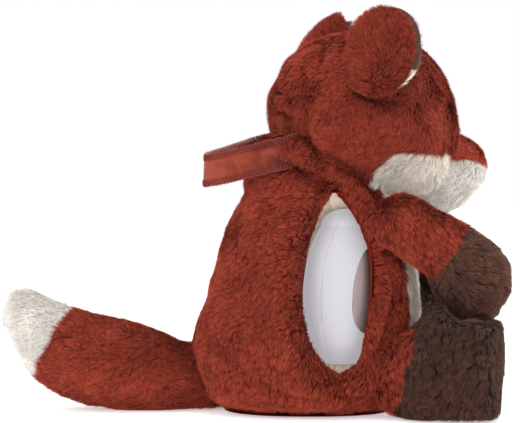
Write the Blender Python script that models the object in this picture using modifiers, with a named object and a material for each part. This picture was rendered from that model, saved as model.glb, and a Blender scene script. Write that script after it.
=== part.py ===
"""Seated plush fox with a pocket in its right flank that holds a small plastic sound module.

Units in the functions are millimetres and become metres when a mesh is made.
The fox looks along -Y, its right side is -X, +Z is up, and it sits on z = 0.
"""
import math

import bmesh
import bpy
from mathutils import Quaternion, Vector

# ----------------------------------------------------------------------------- driving dimensions (mm)
COVER = 1.8          # thickness of a fabric cover with its backing
FILL_GAP = 4.2       # a stuffing core lies this far inside the outer surface
COARSE = 0.62        # share of the nominal rows and columns that each grid is made with

# torso sections from the seat up: height, back y, front y, half width
TORSO = [
    (2.4, 55.0, -66.0, 50.0), (7.0, 62.0, -73.0, 60.0), (14.0, 68.0, -79.0, 66.0), (26.0, 73.0, -84.0, 71.0),
    (45.0, 76.0, -87.0, 74.0), (66.0, 72.5, -88.0, 74.0), (90.0, 66.0, -87.0, 70.5), (110.0, 59.0, -84.0, 65.0),
    (126.0, 52.5, -79.5, 60.0), (140.0, 46.5, -73.0, 54.5), (150.0, 41.0, -65.5, 51.0), (158.0, 37.7, -59.7, 48.7),
]
NECK = (0.0, -11.0, 163.0)    # centre of the ball that the neck seam turns on
NECK_R = 49.0
HEAD = (12.0, -46.0, 217.0)
HEAD_R = (71.0, 60.0)         # fore and aft, up
HEAD_W = (75.0, 66.0)         # half width low and high
YAW = math.radians(20.0)      # the head is sewn turned to the fox's left
MUZZLE_OUT, MUZZLE_Z = 65.3, 172.8
MUZZLE_R = (33.0, 30.0, 29.0)
EAR_SIDE, EAR_BACK, EAR_Z = 60.0, {-1: 13.0, 1: 1.0}, 256.0
EAR_TURN = {-1: 42.0, 1: 100.0}    # how far each ear's back is turned to the rear, in degrees
EAR_R = (27.0, 35.0, 6.0)     # half width, half height, half thickness
HIP = (50.0, -75.0, 36.0)
HIP_R = 25.0
TAIL_ROOT = (0.0, 66.0, 25.0)
TAIL_R = 21.5
SHOULDER_R = (-46.0, -68.0, 137.0)
SHOULDER_L = (53.0, -67.0, 127.0)
SHOULDER_BALL = 21.5
PAW_R = (-46.0, -121.0, 98.0)
PAW_L = (68.0, -117.0, 99.0)
STRAP_SIDE, STRAP_BACK, STRAP_Z = 38.0, 32.0, 188.0
STRAP_H, STRAP_T, STRAP_LEN = 11.0, 2.0, 52.5
MOD = (-16.0, -32.5, 37.0)    # middle of the module's flat base
MOD_H, MOD_W, MOD_T = 109.0, 46.0, 27.5
MOD_YAW = math.radians(-20.0)
MOD_WALL = 2.0
POCKET = 1.5                  # clearance round the module
LINING = 1.2
SEAM_N, PANEL_N = -4.0, 17.0  # where the module's halves and its panel meet

FWD = Vector((math.sin(YAW), -math.cos(YAW), 0.0))
LEFT = Vector((math.cos(YAW), math.sin(YAW), 0.0))
M_OUT = Vector((-math.cos(MOD_YAW), -math.sin(MOD_YAW), 0.0))    # out through the pocket's mouth
M_FRONT = Vector((math.sin(MOD_YAW), -math.cos(MOD_YAW), 0.0))
UP = Vector((0.0, 0.0, 1.0))

# ----------------------------------------------------------------------------- scene and materials
for ob in list(bpy.data.objects):
    bpy.data.objects.remove(ob, do_unlink=True)
PARTS = bpy.data.collections.new("plush_fox")
CUTTERS = bpy.data.collections.new("cutters")
bpy.context.scene.collection.children.link(PARTS)
bpy.context.scene.collection.children.link(CUTTERS)

COLOURS = {
    "rust": ((0.21, 0.035, 0.02), 0.9), "cream": ((0.6, 0.52, 0.44), 0.9), "white_fur": ((0.72, 0.66, 0.6), 0.9),
    "brown": ((0.075, 0.035, 0.024), 0.9), "boot": ((0.05, 0.022, 0.014), 0.9), "stuffing": ((0.85, 0.84, 0.82), 1.0),
    "lining": ((0.62, 0.56, 0.47), 0.85), "ribbon": ((0.26, 0.05, 0.03), 0.6), "black": ((0.015, 0.012, 0.012), 0.25),
    "shell": ((0.74, 0.71, 0.76), 0.4), "grey": ((0.25, 0.2, 0.2), 0.45), "board": ((0.03, 0.2, 0.07), 0.5),
    "steel": ((0.5, 0.5, 0.5), 0.3), "cell": ((0.12, 0.12, 0.13), 0.35), "cone": ((0.05, 0.05, 0.055), 0.6),
}


def material(name, kind):
    colour, rough = COLOURS[kind]
    mat = bpy.data.materials.new(name)
    mat.use_nodes = True
    shader = mat.node_tree.nodes["Principled BSDF"]
    shader.inputs["Base Color"].default_value = (*colour, 1.0)
    shader.inputs["Roughness"].default_value = rough
    shader.inputs["Metallic"].default_value = 1.0 if kind == "steel" else 0.0
    return mat


def finish(name, bm, kind, origin=(0, 0, 0), cutter=False):
    """Makes the object, with its origin at the given point in millimetres."""
    o = Vector(origin)
    for v in bm.verts:
        v.co = (v.co - o) * 0.001
    mesh = bpy.data.meshes.new(name)
    bm.to_mesh(mesh)
    bm.free()
    ob = bpy.data.objects.new(name, mesh)
    ob.location = o * 0.001
    if cutter:
        CUTTERS.objects.link(ob)
        ob.hide_render = True
        ob.display_type = "WIRE"
    else:
        PARTS.objects.link(ob)
        mesh.materials.append(material(name, kind))
        mesh.shade_smooth()
        mesh.set_sharp_from_angle(angle=math.radians(40))
    return ob


# ----------------------------------------------------------------------------- mapped grids
def mapped(nu, nv, fn, coarse=COARSE):
    """A grid whose two coordinates, each 0 to 1, are carried to fn(a, b); coincident rows are welded."""
    bm = bmesh.new()
    nu, nv = (max(int(round(n * coarse)), min(n, 3)) for n in (nu, nv))
    bmesh.ops.create_grid(bm, x_segments=nu, y_segments=nv, size=1.0)
    for v in bm.verts:
        v.co = Vector(fn((v.co.x + 1) / 2, (v.co.y + 1) / 2))
    bmesh.ops.remove_doubles(bm, verts=bm.verts, dist=1e-3)
    return bm


def skin(name, nu, nv, fn, centre, kind, origin=(0, 0, 0), thick=COVER):
    """An open fabric panel on fn, thickened inwards, away from the side that faces out from centre."""
    bm = mapped(nu, nv, fn)
    bmesh.ops.recalc_face_normals(bm, faces=bm.faces)
    c = Vector(centre)
    if sum((f.calc_center_median() - c).dot(f.normal) * f.calc_area() for f in bm.faces) < 0:
        bmesh.ops.reverse_faces(bm, faces=bm.faces)
    ob = finish(name, bm, kind, origin)
    mod = ob.modifiers.new("thickness", "SOLIDIFY")
    mod.thickness = thick * 0.001
    mod.offset = -1.0
    mod.use_even_offset = True
    return ob


def solid(name, nu, nv, fn, kind, origin=(0, 0, 0), cutter=False):
    """A closed form: fn's first coordinate wraps round and its second runs from pole to pole."""
    bm = mapped(nu, nv, fn, 1.0 if cutter else COARSE)
    bmesh.ops.recalc_face_normals(bm, faces=bm.faces)
    if bm.calc_volume(signed=True) < 0:
        bmesh.ops.reverse_faces(bm, faces=bm.faces)
    return finish(name, bm, kind, origin, cutter)


def ball(name, centre, radius, kind="rust", seg=20, rings=12, cutter=True):
    bm = bmesh.new()
    bmesh.ops.create_uvsphere(bm, u_segments=seg, v_segments=rings, radius=radius)
    for v in bm.verts:
        v.co += Vector(centre)
    return finish(name, bm, kind, (0, 0, 0), cutter)


def rod(name, start, end, radius, kind="steel", seg=16, cutter=False, origin=(0, 0, 0)):
    a, b = Vector(start), Vector(end)
    bm = bmesh.new()
    bmesh.ops.create_cone(bm, cap_ends=True, segments=seg, radius1=radius, radius2=radius, depth=(b - a).length)
    turn = (b - a).to_track_quat("Z", "Y").to_matrix()
    for v in bm.verts:
        v.co = turn @ v.co + (a + b) / 2
    return finish(name, bm, kind, origin, cutter)


def block(name, centre, x, y, z, sx, sy, sz, kind="shell", cutter=False):
    """A box with half sizes sx, sy, sz along the unit directions x, y and z."""
    bm = bmesh.new()
    bmesh.ops.create_cube(bm, size=2.0)
    for v in bm.verts:
        v.co = Vector(centre) + x * (v.co.x * sx) + y * (v.co.y * sy) + z * (v.co.z * sz)
    bmesh.ops.recalc_face_normals(bm, faces=bm.faces)
    return finish(name, bm, kind, (0, 0, 0), cutter)


def cut(ob, tool, how="DIFFERENCE"):
    mod = ob.modifiers.new(tool.name, "BOOLEAN")
    mod.operation = how
    mod.solver = "EXACT"
    mod.object = tool


# ----------------------------------------------------------------------------- shape rules
def spline(rows, t):
    """Catmull-Rom through the rows at t, 0 to 1."""
    n = len(rows) - 1
    x = min(max(t, 0.0), 1.0) * n
    i = min(int(x), n - 1)
    f = x - i
    p = [rows[min(max(i + k, 0), n)] for k in (-1, 0, 1, 2)]
    return [
        0.5 * (2 * b + (c - a) * f + (2 * a - 5 * b + 4 * c - d) * f * f + (3 * b - a - 3 * c + d) * f ** 3)
        for a, b, c, d in zip(*p)
    ]


def power(x, e):
    return math.copysign(abs(x) ** e, x)


def smooth(x, a, b):
    t = min(max((x - a) / (b - a), 0.0), 1.0)
    return t * t * (3 - 2 * t)


def offset(fn, a, b, depth, centre):
    """The point of fn moved inwards by depth along its own normal."""
    p = Vector(fn(a, b))
    if not depth:
        return p
    h = 1e-3
    b0, b1 = (b - h, b + h) if b + h <= 1 else (b - 2 * h, b - 1e-6)
    if b0 < 0:
        b0, b1 = b + 1e-6, b + 2 * h
    u = Vector(fn(a + h, b)) - Vector(fn(a - h, b))
    v = Vector(fn(a, b1)) - Vector(fn(a, b0))
    n = u.cross(v)
    c = Vector(centre)
    n = (p - c).normalized() if n.length < 1e-7 else n.normalized()
    if n.dot(p - c) < 0:
        n = -n
    return p - n * depth


KNEE = 0.76    # the torso's surface is the table below this and the neck ball above it


def torso(a, b):
    """a turns from the front (0) towards the fox's left; b runs from the seat's rim to the top of the neck ball."""
    ang = 2 * math.pi * a
    s, c = math.sin(ang), math.cos(ang)
    if b <= KNEE:
        z, back, front, w = spline(TORSO, b / KNEE)
        e = 2 / (2.35 - 0.35 * b / KNEE)
        return (w * power(s, e), (back + front) / 2 - (back - front) / 2 * power(c, e), z)
    low = math.acos((158.0 - NECK[2]) / NECK_R)
    t = low * (1 - (b - KNEE) / (1 - KNEE))
    r = NECK_R * math.sin(t)
    return (NECK[0] + r * s, NECK[1] - r * c, NECK[2] + NECK_R * math.cos(t))


def torso_row(z):
    """b of the height z, by bisection."""
    lo, hi = 0.0, 1.0
    for _ in range(40):
        m = (lo + hi) / 2
        if torso(0.25, m)[2] < z:
            lo = m
        else:
            hi = m
    return lo


def flank(y, z):
    """The point of the torso's right side at y and z."""
    b = torso_row(z)
    back, front = torso(0.5, b)[1], torso(0.0, b)[1]
    e = 2.35 - 0.35 * min(b / KNEE, 1.0)
    rel = min(abs((y - (back + front) / 2) / ((back - front) / 2)), 0.999)
    return (-abs(torso(0.25, b)[0]) * (1 - rel ** e) ** (1 / e), y, z)


def head(a, b):
    """a turns from the muzzle side (0) towards the fox's left; b runs from the bottom (0) to the crown (1)."""
    ang, e = 2 * math.pi * a, math.pi * (b - 0.5)
    w = HEAD_W[0] + (HEAD_W[1] - HEAD_W[0]) * smooth(math.sin(e), -0.5, 0.5)
    p = Vector(HEAD) + FWD * (HEAD_R[0] * math.cos(e) * math.cos(ang)) + LEFT * (w * math.cos(e) * math.sin(ang))
    return p + UP * (HEAD_R[1] * math.sin(e))


MUZZLE = Vector((HEAD[0], HEAD[1], 0.0)) + FWD * MUZZLE_OUT + UP * MUZZLE_Z


def muzzle(a, b):
    """a turns about the muzzle's axis from its top; b runs from the back pole to the tip."""
    ang, t = 2 * math.pi * a, math.pi * (1 - b)
    r = math.sin(t)
    return (
        MUZZLE + FWD * (MUZZLE_R[0] * math.cos(t)) + LEFT * (MUZZLE_R[1] * r * math.sin(ang))
        + UP * (MUZZLE_R[2] * r * math.cos(ang))
    )


def limb(rows, side_axis):
    """A round-ended form through rows of (x, y, z, radius up, radius across)."""
    side = Vector(side_axis).normalized()

    def fn(a, b):
        # even spacing in the middle, closer rows at both rounded ends
        t = b
        x, y, z, ru, rs = spline(rows, t)
        x2, y2, z2, _, _ = spline(rows, min(t + 0.01, 1.0))
        x1, y1, z1, _, _ = spline(rows, max(t - 0.01, 0.0))
        d = Vector((x2 - x1, y2 - y1, z2 - z1)).normalized()
        up = side.cross(d).normalized()
        across = d.cross(up)
        ang = 2 * math.pi * a
        return Vector((x, y, z)) + up * (max(ru, 0.0) * math.cos(ang)) + across * (max(rs, 0.0) * math.sin(ang))

    return fn


def arm_rows(shoulder, paw, ball_r, grow=0.0):
    s, p = Vector(shoulder), Vector(paw)
    ball_r += grow
    d = (p - s).normalized()
    rows = []
    for k in range(5):        # the root is a true ball, so it turns in its seat
        t = math.pi * (1 - k / 4 * 0.5)
        rows.append((*(s + d * (ball_r * math.cos(t))), ball_r * math.sin(t), ball_r * math.sin(t)))
    lift = Vector((0, 0, 3.0))
    rows.append((*(s + (p - s) * 0.30 + lift), 22.5 + grow, 21.5 + grow))
    rows.append((*(s + (p - s) * 0.62 + lift), 24.5 + grow, 23.5 + grow))
    rows.append((*(p - d * 8 + lift * 0.3), 29.0 + grow, 26.0 + grow))
    for k in range(5):
        t = math.pi / 2 * (k / 4)
        rows.append((*(p + d * ((30.5 + grow) * math.sin(t))), (30.5 + grow) * math.cos(t), (27.0 + grow) * math.cos(t)))
    return rows


def arm(side, grow=0.0):
    """The arm's form; the paw is flattened underneath, where it rests on the boot."""
    form = limb(arm_rows(SHOULDER_R if side < 0 else SHOULDER_L, PAW_R if side < 0 else PAW_L, SHOULDER_BALL, grow), (1, 0, 0))

    def fn(a, b):
        p = form(a, b)
        if p.z < 72.0:
            p.z = 72.0 - (72.0 - p.z) * 0.25
        return p

    return fn


def under_paw(side, y):
    """The height that the boot's top keeps under the paw that rests on it."""
    paw = PAW_R if side < 0 else PAW_L
    dy = y - paw[1]
    if dy <= 0:
        return 69.2
    if dy >= 30.5:
        return 200.0
    return max(69.2, paw[2] - math.sqrt(30.5 ** 2 - dy * dy) - 2.6)


def leg_surface(side, grow=0.0):
    """The leg from its ball at the hip to the sole. a turns about the leg's axis from the top."""
    r = HIP_R + grow
    hip = Vector((side * HIP[0], HIP[1], HIP[2]))
    boot = Vector((side * 60.0, -104.0, 40.5))
    d = Vector((boot.x - hip.x, boot.y - hip.y, 0)).normalized()
    across = Vector((-d.y, d.x, 0)) * (1 if side > 0 else 1)

    def fn(a, b):
        ang = 2 * math.pi * a
        s, c = math.sin(ang), math.cos(ang)
        if b < 0.30:
            t = math.pi * (1 - b / 0.30 * 0.46)
            p = hip + d * (r * math.cos(t)) + UP * (r * math.sin(t) * c) + across * (r * math.sin(t) * s)
        else:
            # the boot swells from the ankle, stands 82 mm tall and ends in a nearly flat sole
            rows = [
                (-3.5, 24.8, 24.8, 36.3), (4.0, 28.4, 27.0, 37.2), (14.0, 36.0, 30.0, 38.8), (26.0, 41.6, 32.0, 41.2),
                (40.0, 41.6, 31.8, 41.2), (53.0, 40.4, 31.0, 40.4), (61.0, 37.4, 29.2, 38.8), (65.0, 32.0, 25.4, 38.0),
                (66.4, 17.0, 14.0, 37.5), (66.7, 0.0, 0.0, 37.5),
            ]
            out, ru, rs, zc = spline(rows, (b - 0.30) / 0.70)
            e = 2 / (2.0 + 0.9 * smooth(b, 0.3, 0.5))
            ru, rs = (max(k, 0.0) + (grow if b < 0.999 else 0.0) for k in (ru, rs))
            out += grow if b > 0.95 else 0.0
            p = Vector((hip.x, hip.y, 0)) + d * out + UP * (zc + ru * power(c, e)) + across * (rs * power(s, e))
            # the paw rests on the boot's top and presses it down
            top = under_paw(side, p.y)
            if p.z > top - 9.0:
                p.z = top - 1.5 * math.log(1 + math.exp((top - p.z) / 1.5))
        p.z = max(p.z, 0.6 - 3 * grow)
        return p

    return fn


TAIL_ROWS = []
for k in range(5):
    t = math.pi * (1 - k / 4 * 0.5)
    TAIL_ROWS.append((0.0, TAIL_ROOT[1] + TAIL_R * math.cos(t), TAIL_ROOT[2], TAIL_R * math.sin(t), TAIL_R * math.sin(t)))
TAIL_ROWS += [
    (0.0, 90.0, 26.5, 24.5, 25.0), (1.0, 112.0, 30.5, 29.0, 30.0), (2.0, 136.0, 34.2, 32.8, 32.0),
    (3.0, 158.0, 39.4, 33.0, 32.0), (4.0, 176.0, 47.4, 30.6, 30.0), (5.0, 188.2, 57.2, 26.4, 26.0),
    (5.5, 197.6, 68.2, 20.8, 20.0), (6.0, 203.6, 78.2, 14.4, 14.0), (6.0, 207.2, 84.4, 7.6, 7.2), (6.0, 208.6, 87.2, 0.0, 0.0),
]


def module_row(h):
    """Half width and half thickness of the module at h, 0 at its base and 1 at its top."""
    t = [(0.0, 0.60), (0.07, 0.75), (0.15, 0.88), (0.28, 0.97), (0.43, 1.0), (0.58, 0.955), (0.74, 0.83), (0.89, 0.56), (0.965, 0.30), (1.0, 0.0)]
    for (h0, t0), (h1, t1) in zip(t, t[1:]):
        if h <= h1:
            f = (h - h0) / (h1 - h0)
            k = t0 + (t1 - t0) * f
            if h > 0.89:      # rounded crown
                k = 0.56 * math.sqrt(max(1 - ((h - 0.89) / 0.11) ** 2, 0.0))
            return MOD_W * (0.25 * math.sqrt(k) + 0.75 * k if k > 0 else 0.0), MOD_T * k
    return 0.0, 0.0


def module(grow=0.0):
    """The module's outer form, grown by grow."""

    def fn(a, b):
        ang = 2 * math.pi * a
        s, c = math.cos(ang), math.sin(ang)
        if b < 0.08:
            h, k = 0.0, b / 0.08
        elif b > 0.999:
            h, k = 1.0, 1.0
        else:
            x = (b - 0.08) / 0.92
            h, k = math.sin(x * math.pi / 2) ** 1.25, 1.0
        w, t = module_row(h)
        w, t = w + grow, t + grow
        if h >= 1.0:
            w = t = 0.0
        e = 2 / 2.25
        out = w * power(s, e) * k
        z = MOD[2] - grow + h * (MOD_H + 2 * grow)
        return Vector(MOD) * 1.0 - UP * MOD[2] + UP * z + M_OUT * out + M_FRONT * (t * power(c, e) * k)

    return fn


# ----------------------------------------------------------------------------- cutters
neck_cut = ball("cut_neck", NECK, NECK_R + 3.4, seg=28, rings=18)
arm_cut_r = solid("cut_arm_right", 24, 26, arm(-1, 1.0), "rust", cutter=True)
arm_cut_l = solid("cut_arm_left", 24, 26, arm(1, 1.0), "rust", cutter=True)
leg_cut_r = solid("cut_leg_right", 26, 30, leg_surface(-1, 1.0), "rust", cutter=True)
leg_cut_l = solid("cut_leg_left", 26, 30, leg_surface(1, 1.0), "rust", cutter=True)
tail_cut = ball("cut_tail", TAIL_ROOT, TAIL_R + 0.9)
tail_room = ball("cut_tail_swing", (0.0, TAIL_ROOT[1] + 15.0, TAIL_ROOT[2] + 1.0), 28.0)
muzzle_cut = solid("cut_muzzle", 20, 12, lambda a, b: offset(muzzle, a, b, -0.8, MUZZLE), "rust", cutter=True)

GROW = POCKET + LINING + 0.9


def ring_point(a, grow):
    """A point of the pocket's section, from the middle of its flat base up the front and down the back: distance to the front and height."""
    m, side = (a, 1) if a <= 0.5 else (1 - a, -1)
    if m < 0.10:
        return side * (module_row(0.0)[1] + grow) * m / 0.10, MOD[2] - grow
    h = 0.5 - 0.5 * math.cos(math.pi * (m - 0.10) / 0.40)
    n = module_row(min(h, 0.9999))[1] + grow
    return side * (n if m < 0.4999 else 0.0), MOD[2] - grow + h * (MOD_H + 2 * grow)


def pocket(grow, inner, mouth):
    """The pocket's surface: b = 0 at the closed inner end, 1 at the mouth, whose distance mouth(n, z) gives."""

    def fn(a, b):
        n, z = ring_point(a, grow)
        zc = MOD[2] + MOD_H * 0.45
        base = Vector((MOD[0], MOD[1], 0))
        if b < 0.4:
            q = 1 - b / 0.4
            scale = (1 - q ** 3) ** (1 / 3)
            out = -34.0 - (inner - 34.0) * q ** 0.8
            return base + M_FRONT * (n * scale) + UP * (zc + (z - zc) * scale) + M_OUT * out
        out = -34.0 + (mouth(n, z) + 34.0) * (b - 0.4) / 0.6
        return base + M_FRONT * n + UP * z + M_OUT * out

    return fn


def mouth_at(inset):
    """How far out along the slide a line at (n, z) leaves the torso, less inset."""

    def fn(n, z):
        lo, hi = 0.0, 120.0
        for _ in range(30):
            m = (lo + hi) / 2
            p = Vector((MOD[0], MOD[1], 0)) + M_FRONT * n + M_OUT * m
            zz = min(max(z, 4.0), 155.0)
            edge = flank(p.y, zz)[0]
            if p.x > edge:
                lo = m
            else:
                hi = m
        return lo - inset

    return fn


pocket_cut = solid("cut_pocket", 40, 12, pocket(GROW, 48.5 + GROW, lambda n, z: 120.0), "lining", cutter=True)
# the mouth of that cutter is closed with a cap
bm = bmesh.new()
bm.from_mesh(pocket_cut.data)
bmesh.ops.holes_fill(bm, edges=[e for e in bm.edges if e.is_boundary], sides=0)
bmesh.ops.recalc_face_normals(bm, faces=bm.faces)
if bm.calc_volume(signed=True) < 0:
    bmesh.ops.reverse_faces(bm, faces=bm.faces)
bm.to_mesh(pocket_cut.data)
bm.free()

# ----------------------------------------------------------------------------- torso
TC = (0.0, -8.0, 90.0)
B_TOP = 0.885                # the cover ends here, at the neck seam


def belly_edge(b):
    """Half angle, as a part of a turn, that the cream belly takes at row b."""
    return 0.078 + 0.022 * math.sin(math.pi * min(b / 0.8, 1.0))


def cover_map(a, b):
    row = b * B_TOP
    e = belly_edge(row) + 0.0018
    return torso(e + (1 - 2 * e) * a, row)


def belly_map(a, b):
    row = b * B_TOP
    e = belly_edge(row)
    return torso(-e + 2 * e * a, row)


torso_cover = skin("torso_cover", 34, 20, cover_map, TC, "rust")
belly_panel = skin("belly_panel", 8, 14, belly_map, TC, "cream")


def fill_map(a, b):
    if b < 0.07:
        x, y, z = offset(torso, a, 0.012, FILL_GAP + 1.2, TC)
        k = b / 0.07
        return Vector((x * k, -6 + (y + 6) * k, 3.0))
    row = 0.012 + (1 - 0.012) * (b - 0.07) / 0.93
    p = offset(torso, a, row, FILL_GAP + 1.2, TC)
    if row > 0.999:
        p = Vector((NECK[0], NECK[1], NECK[2] + NECK_R - FILL_GAP))
    return Vector((p.x, p.y, max(p.z, 3.0)))


torso_fill = solid("torso_fill", 28, 16, fill_map, "stuffing")
for ob in (torso_cover, torso_fill):
    for tool in (pocket_cut, arm_cut_r, arm_cut_l, leg_cut_r, leg_cut_l, tail_cut, tail_room):
        cut(ob, tool)
for tool in (arm_cut_r, arm_cut_l, leg_cut_r, leg_cut_l):
    cut(belly_panel, tool)


def seat_map(a, b):
    x, y, _ = torso(a, 0.0)
    if b < 0.25:
        k, z = b / 0.25 * 0.985, 0.0
    elif b < 0.75:
        k, z = 1.0, 0.3 + (b - 0.25) / 0.5 * 1.2
    else:
        k, z = (1 - b) / 0.25 * 0.985, 1.8
    return Vector((x * k, -5.5 + (y + 5.5) * k, z))


seat_panel = solid("seat_panel", 28, 8, seat_map, "rust")

pouch_lining = skin(
    "pouch_lining", 48, 12, pocket(POCKET + LINING, 48.5 + POCKET + LINING, mouth_at(2.6)),
    Vector((MOD[0], MOD[1], MOD[2] + 50)), "lining", thick=LINING,
)


def opening_edge(z, side, grow):
    """y of the pocket opening's rear (side -1) or front (side 1) edge on the flank at height z."""
    h = (z - MOD[2] + GROW) / (MOD_H + 2 * GROW)
    t = module_row(min(max(h, 0.0), 0.9999))[1] + grow
    y = -20.0
    for _ in range(25):
        x = flank(y, z)[0]
        y = MOD[1] + (MOD[0] - x) * math.tan(-MOD_YAW) - side * t / math.cos(MOD_YAW)
    return y


def flap_rear(a, b):
    z = 42.0 + b * 96.0
    outer = opening_edge(z, -1, GROW) - 1.2
    lens = -1.5 - 14.0 * abs((z - 93.0) / 55.0) ** 2.2
    lens = min(lens, outer - 3.0)
    return Vector(flank(outer + (lens - outer) * a, z))


def flap_front(a, b):
    z = 50.0 + b * 80.0
    outer = opening_edge(z, 1, GROW) + 1.2
    return Vector(flank(outer + 4.0 * a, z))


pouch_flap_rear = skin("pouch_flap_rear", 5, 12, flap_rear, TC, "rust")
pouch_flap_front = skin("pouch_flap_front", 2, 12, flap_front, TC, "rust")

# ----------------------------------------------------------------------------- neck layer
neck_cover = skin(
    "neck_cover", 24, 6,
    lambda a, b: Vector(NECK) + Vector((
        (NECK_R + 2.5) * math.sin(math.radians(46) * (1 - b * 0.9)) * math.sin(2 * math.pi * a),
        -(NECK_R + 2.5) * math.sin(math.radians(46) * (1 - b * 0.9)) * math.cos(2 * math.pi * a),
        (NECK_R + 2.5) * math.cos(math.radians(46) * (1 - b * 0.9)))),
    NECK, "rust", NECK, thick=1.6,
)

# ----------------------------------------------------------------------------- head
CHEEK = 0.305       # the cheeks reach this far round from the muzzle, as a part of a turn


def cheek_row(a):
    """Row of the border between the dark crown and the pale cheek at turn a, -0.5 to 0.5."""
    return 0.11 + 0.205 * (1 - smooth(abs(a), 0.24, CHEEK + 0.01))


def crown_map(a, b):
    turn = a - 0.5
    if abs(turn) > CHEEK:
        low = 0.05 + 0.085 * (1 - smooth(abs(turn), CHEEK, CHEEK + 0.11))
    else:
        low = cheek_row(turn) + 0.024
    return head(turn, low + (1 - low) * b)


head_cover = skin("head_cover", 48, 16, crown_map, HEAD, "rust", NECK)


def cheek_map(side):
    def fn(a, b):
        turn = side * (0.003 + (CHEEK - 0.006) * a)
        low = 0.06
        return head(turn, low + (cheek_row(turn) - low) * b)
    return fn


cheek_right = skin("cheek_right", 18, 6, cheek_map(-1), HEAD, "cream", NECK)
cheek_left = skin("cheek_left", 18, 6, cheek_map(1), HEAD, "cream", NECK)


def head_fill_map(a, b):
    p = offset(head, a, min(max(b, 0.002), 0.998), FILL_GAP + 1.2, HEAD)
    if b <= 0:
        p = Vector(HEAD) - UP * (HEAD_R[1] - FILL_GAP - 1.2)
    if b >= 1:
        p = Vector(HEAD) + UP * (HEAD_R[1] - FILL_GAP - 1.2)
    return p


head_fill = solid("head_fill", 28, 16, head_fill_map, "stuffing", NECK)
for ob in (head_cover, cheek_right, cheek_left, head_fill):
    cut(ob, neck_cut)
    cut(ob, muzzle_cut)

MZ = MUZZLE
muzzle_cover = skin("muzzle_cover", 10, 12, lambda a, b: muzzle(-0.213 + 0.426 * a, 0.10 + 0.90 * b), MZ, "rust", NECK)
muzzle_chin = skin("muzzle_chin", 14, 12, lambda a, b: muzzle(0.234 + 0.532 * a, 0.10 + 0.87 * b), MZ, "white_fur", NECK)
muzzle_fill = solid("muzzle_fill", 20, 12, lambda a, b: offset(muzzle, a, min(max(b, 0.002), 0.998), FILL_GAP, MZ)
                    if 0 < b < 1 else MZ + FWD * ((MUZZLE_R[0] - FILL_GAP) * (1 if b >= 1 else -1)), "stuffing", NECK)


def pad(name, centre, out, wide, high, deep, kind, origin):
    """A low oval button lying against a surface whose normal is out."""
    side = UP.cross(out).normalized()
    top = out.cross(side)
    c = Vector(centre)

    def fn(a, b):
        ang, t = 2 * math.pi * a, math.pi * b
        r = math.sin(t) ** 0.7 if 0 < b < 1 else 0.0
        return c + side * (wide * r * math.cos(ang)) + top * (high * r * math.sin(ang)) + out * (deep * math.cos(t))

    return solid(name, 14, 8, fn, kind, origin)


def on_muzzle(a, b, lift):
    return offset(muzzle, a, b, -lift, MZ)


nose_at = on_muzzle(0.03, 0.90, 1.9)
nose = pad("nose", nose_at, (nose_at - MZ).normalized(), 7.5, 5.0, 1.5, "black", NECK)
for side, label in ((-1, "right"), (1, "left")):
    at = offset(head, side * 0.046, 0.455, -1.2, HEAD)
    out = (offset(head, side * 0.046, 0.455, -6.0, HEAD) - at).normalized()
    pad("eye_" + label, at, out, 4.4, 4.4, 0.8, "black", NECK)

# ----------------------------------------------------------------------------- ears
EAR_TILT = math.radians(18.0)


def ear_frame(side):
    """The ear's middle, and its directions across, up and out at the back."""
    turn = math.radians(EAR_TURN[side])
    out = (LEFT * side * math.cos(turn) - FWD * math.sin(turn)).normalized()
    out = (out * math.cos(EAR_TILT) + UP * math.sin(EAR_TILT)).normalized()
    across = UP.cross(out).normalized() * side
    up = (out.cross(across) * side).normalized()
    if up.z < 0:
        up = -up
    c = Vector(HEAD) + LEFT * side * EAR_SIDE - FWD * EAR_BACK[side]
    c.z = EAR_Z
    return c, across, up, out


def ear_pivot(side):
    c, across, up, out = ear_frame(side)
    return c - up * (EAR_R[1] - 0.5)


def ear_plate(side, r0, a0, a1, lift0, lift1):
    """Part of the ear's oval, cupped: r is 0 at the middle and 1 at the rim."""
    c, across, up, out = ear_frame(side)

    def fn(a, b):
        ang = 2 * math.pi * (a0 + (a1 - a0) * a)
        r = r0 + (1 - r0) * b
        x, y = EAR_R[0] * r * math.sin(ang), EAR_R[1] * r * math.cos(ang)
        x *= 1 - 0.10 * smooth(-y, 0, EAR_R[1])
        dome = lift0 + lift1 * (1 - r * r)
        return c + across * x + up * y + out * dome

    return fn


def ear_room(side, turn=0.0):
    """The ear's own form with 1 mm to spare, for the hollow that it lies in; turn degrees flopped outwards."""
    c, across, up, out = ear_frame(side)
    piv, axis = ear_pivot(side), up.cross(out).normalized()
    spin = Quaternion(axis, math.radians(turn))

    def fn(a, b):
        ang = 2 * math.pi * a
        r = 1.035 * (math.sin(math.pi * b) if b not in (0.0, 1.0) else 0.0)
        x, y = EAR_R[0] * r * math.sin(ang), EAR_R[1] * r * math.cos(ang)
        dome = (1.4 if b < 0.5 else -8.4) + 6.0 * (1 - r * r)
        if abs(b - 0.5) < 1e-6:
            dome = -3.5
        return piv + spin @ (c + across * x + up * y + out * dome - piv)

    return fn


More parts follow.
